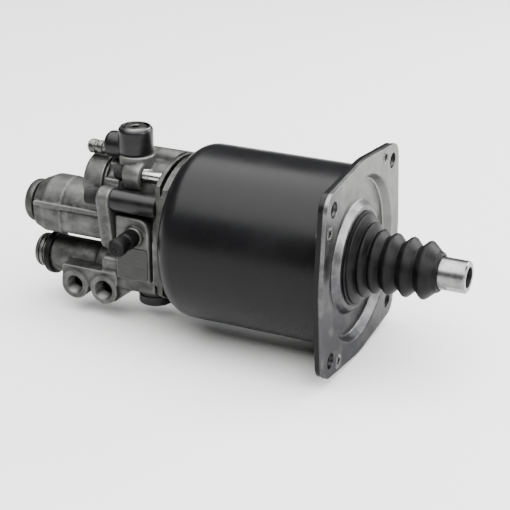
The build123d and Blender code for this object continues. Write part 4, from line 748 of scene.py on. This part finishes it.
# Painted shade: the hexagon socket is lined with black phosphate, though the plug is zinc plated, so that its
# hole reads dark.
plug_socket = turned_piece("elbow_plug_socket", [
    (12.0, pole), (12.0, 2.7), (17.9, 2.7), (17.9, 3.2), (11.5, 3.2), (11.5, pole)], 6)
turn_and_place(plug_socket, (0, -90, 0), (elbow_x, elbow_y, elbow_seat_z))
put(plug_socket, black_phosphate, "servo", "dark_steel", "elbow_plug")
rubbed_lip = turned_piece("elbow_rubbed_lip", rounded_outline([
    (17.5, 10.5, 0), (18.4, 10.0, 0.5), (18.4, 9.2, 0.4), (17.5, 8.8, 0), (17.0, 9.6, 0), (17.5, 10.5, 0)]))
turn_and_place(rubbed_lip, (0, -90, 0), (elbow_x, elbow_y, elbow_seat_z))
smooth(rubbed_lip, 35)
put(rubbed_lip, dull_zinc, "servo", "dark_steel", "elbow_fitting")


# Bleed nipple: zinc plated steel, turned, with a drilled end, a groove behind its rounded head and a
# collar. It is screwed into the end of the fitting's arm.
nipple_below_arm = 3.8
nipple = turned_piece("bleed_nipple_turned", rounded_outline([
    (-35.2, pole, 0), (-35.2, 1.2, 0), (-35.6, 1.6, 0.2), (-35.6, 3.4, 0.4), (-34.0, 4.8, 0.6),
    (-30.0, 4.8, 0.5), (-29.2, 3.9, 0.2), (-28.0, 3.9, 0.2), (-27.4, 4.6, 0.4), (-24.4, 4.6, 0.3),
    (-23.8, 3.8, 0.2), (-19.4, 3.8, 0), (-19.4, pole, 0)]), 64)
turn_and_place(nipple, (0, 0, 0), (elbow_x, elbow_y, arm_z - nipple_below_arm))
smooth(nipple, 35)
put(nipple, dull_zinc, "servo", "zinc", "bleed_nipple")


# Plate rivets: four tubular steel rivets that join the can's flange to the front plate. The riveting tool
# rolls over each one's mouth, which catches the light.
# Oiled steel, the same as the springs': dark and glossy, with small clouds.
spring_steel = mottled_finish("oiled_spring_steel", "#3A3A3C", "#5B5B5E", metallic=1.0, low_gloss=0.25,
                              high_gloss=0.4, patch_mm=3.0, grain_mm=0.4, grain_depth=0.01)
finish_node("plate_rivets", spring_steel)
rivet_circle = 67.1
first_rivet_angle = 146.85
rivet_angles = [radians(first_rivet_angle + 90 * turn) for turn in range(4)]
rivet_places = [(0.0, rivet_circle * cos(angle), rivet_circle * sin(angle)) for angle in rivet_angles]
lip = turned_piece("rivet_lip", rounded_outline([
    (-0.6, 4.3, 0), (0.1, 3.9, 0.3), (0.5, 3.1, 0.5), (0.1, 2.4, 0.3), (-2.0, 2.1, 0), (-2.0, 2.6, 0),
    (-0.6, 4.3, 0)]), 48)
rivet_lips = placed_copies(lip, "rivet_lips", rivet_places)
smooth(rivet_lips, 35)
put(rivet_lips, dull_zinc, "servo", "zinc")


# Bleed screw and dust cap: a zinc plated steel screw in the name plate's block, under a cap of soft moulded
# rubber that is pushed over its hexagon. The cap has a fat tip, a waist and a rolled skirt.
finish_node("bleed_screw", dull_zinc)
bleed_from_ring = 17.5
cap_root_y = -33.4
dust_cap = turned_piece("dust_cap_moulded", rounded_outline([
    (-22.2, pole, 0), (-22.2, 1.3, 0.2), (-22.8, 1.9, 0.2), (-22.8, 4.6, 1.4), (-21.0, 6.3, 1.6),
    (-16.0, 6.3, 1.2), (-14.2, 5.3, 0.8), (-10.6, 5.3, 0.8), (-9.2, 6.2, 0.8), (-0.8, 6.2, 0.8),
    (0.0, 5.6, 0.3), (0.0, 5.0, 0), (-5.2, 5.0, 0), (-5.2, 3.6, 0), (-19.2, 3.6, 0), (-19.2, pole, 0)]), 64)
turn_and_place(dust_cap, (0, 0, 90), (ring_rear - bleed_from_ring, cap_root_y, 0))
smooth(dust_cap, 35)
put(dust_cap, bellows_rubber, "servo", "black_rubber", "bleed_dust_cap")


# Exhaust ring: a ring of the same moulded rubber as the boot, stretched round the lower cylinder near its
# end. It is black and matt.
finish_node("exhaust_ring", bellows_rubber)


# Name plate: thin bare aluminium sheet stuck on the side of the main casting and left without marking.
# It is brushed along its length, which draws out its highlight.
brush_mm = 0.3
brush_depth = 0.01
bare_sheet, tree, shader = new_finish("brushed_aluminium_sheet")
place = add_node(tree, "ShaderNodeTexCoord")
stretch = add_node(tree, "ShaderNodeMapping", inputs={"Scale": (0.03, 1.0, 1.0)},
                   links={"Vector": place.outputs["Object"]})
brushing = add_node(tree, "ShaderNodeTexNoise", inputs={"Scale": 1000 / brush_mm, "Detail": 4.0},
                    links={"Vector": stretch.outputs["Vector"]})
relief = add_node(tree, "ShaderNodeBump", inputs={"Strength": 0.3, "Distance": brush_depth * mm},
                  links={"Height": brushing.outputs["Fac"]})
lay_surface(tree, shader, brushing.outputs["Fac"], ((0.3, "#2E2E2D"), (0.7, "#414140")), None, relief,
            metallic=1.0)
shader.inputs["Roughness"].default_value = 0.4
finish_node("name_plate", bare_sheet)


# Gaskets: three thin sheets of pressed fibre, cut to shape and clamped in the joints of the can, the ring
# flange and the castings. They are dark grey, dry and fuzzy at their cut edges.
gasket_fibre = mottled_finish("pressed_gasket_fibre", "#1E1F1E", "#353634", metallic=0.0, low_gloss=0.8,
                              high_gloss=0.95, patch_mm=1.5, grain_mm=0.3, grain_depth=0.05)
for node in ("can_seal", "ring_gasket", "housing_gasket"):
    finish_node(node, gasket_fibre)


# Seals inside, and the disc of the inlet valve: smooth moulded rubber that sits in machined grooves. A film
# of grease makes it black and wet.
seal_rubber = mottled_finish("greased_seal_rubber", "#0B0B0B", "#181818", metallic=0.0, low_gloss=0.22,
                             high_gloss=0.38, patch_mm=3.0, grain_mm=0.5, grain_depth=0.01)
for node in ("cover_seal", "end_cap_seal", "lower_plug_seal", "piston_lip_seal", "hydraulic_cup_seal",
             "rod_seal", "relay_piston_seal", "control_piston_seal", "inlet_valve"):
    finish_node(node, seal_rubber)


# Pistons, valve pieces and screws inside: a die-cast air piston, small pistons and valve pieces turned
# from aluminium bar, and a zinc plated control piston and ring screws.
die_cast = cast_finish("die_cast_aluminium", "#5C5C5A", "#A8A8A5", low_gloss=0.36, high_gloss=0.52)
finish_node("pneumatic_piston", die_cast)
turned_aluminium = turned_finish("turned_aluminium", "#4E4E4C", "#70706D", ring_mm=0.5, low_gloss=0.30,
                                 high_gloss=0.46)
for node in ("hydraulic_piston", "relay_piston", "valve_seat", "valve_guide"):
    finish_node(node, turned_aluminium)
for node in ("ring_screws", "control_piston"):
    finish_node(node, bright_zinc)


# Guides and clip inside: plain guide rings of a filled plastic the colour of clay, a porous bush of
# sintered bronze that carries the rod, and the oiled spring clip on the rod.
guide_plastic = mottled_finish("filled_bearing_plastic", "#6E6350", "#8C8068", metallic=0.0, low_gloss=0.45,
                               high_gloss=0.6, patch_mm=2.0, grain_mm=0.3, grain_depth=0.02)
for node in ("piston_guide_ring", "hydraulic_guide_ring"):
    finish_node(node, guide_plastic)
sintered_bronze = mottled_finish("sintered_bronze", "#6B4E28", "#94713F", metallic=1.0, low_gloss=0.4,
                                 high_gloss=0.55, patch_mm=1.0, grain_mm=0.25, grain_depth=0.03)
finish_node("rod_bush", sintered_bronze)
finish_node("piston_clip", spring_steel)


# Springs: coils of hard-drawn, oiled wire, which close up as their joints move but stay fixed to the servo
# here. The piston's is conical and the two others are small and straight. Each is a copy of the solid's shape
# with fewer faces.
def sprung(node, share):
    """A copy of a coil's solid with a share of its faces kept, in oiled spring steel on the servo body."""
    coil = copy_of(node, node + "_coil")
    apply_modifier(coil, "DECIMATE", {"ratio": share})
    smooth(coil, 60)
    put(coil, spring_steel, "servo", "spring_steel", node)
    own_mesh(coil)


sprung("return_spring", share=0.3)
sprung("relay_spring", share=0.25)
sprung("inlet_valve_spring", share=0.25)
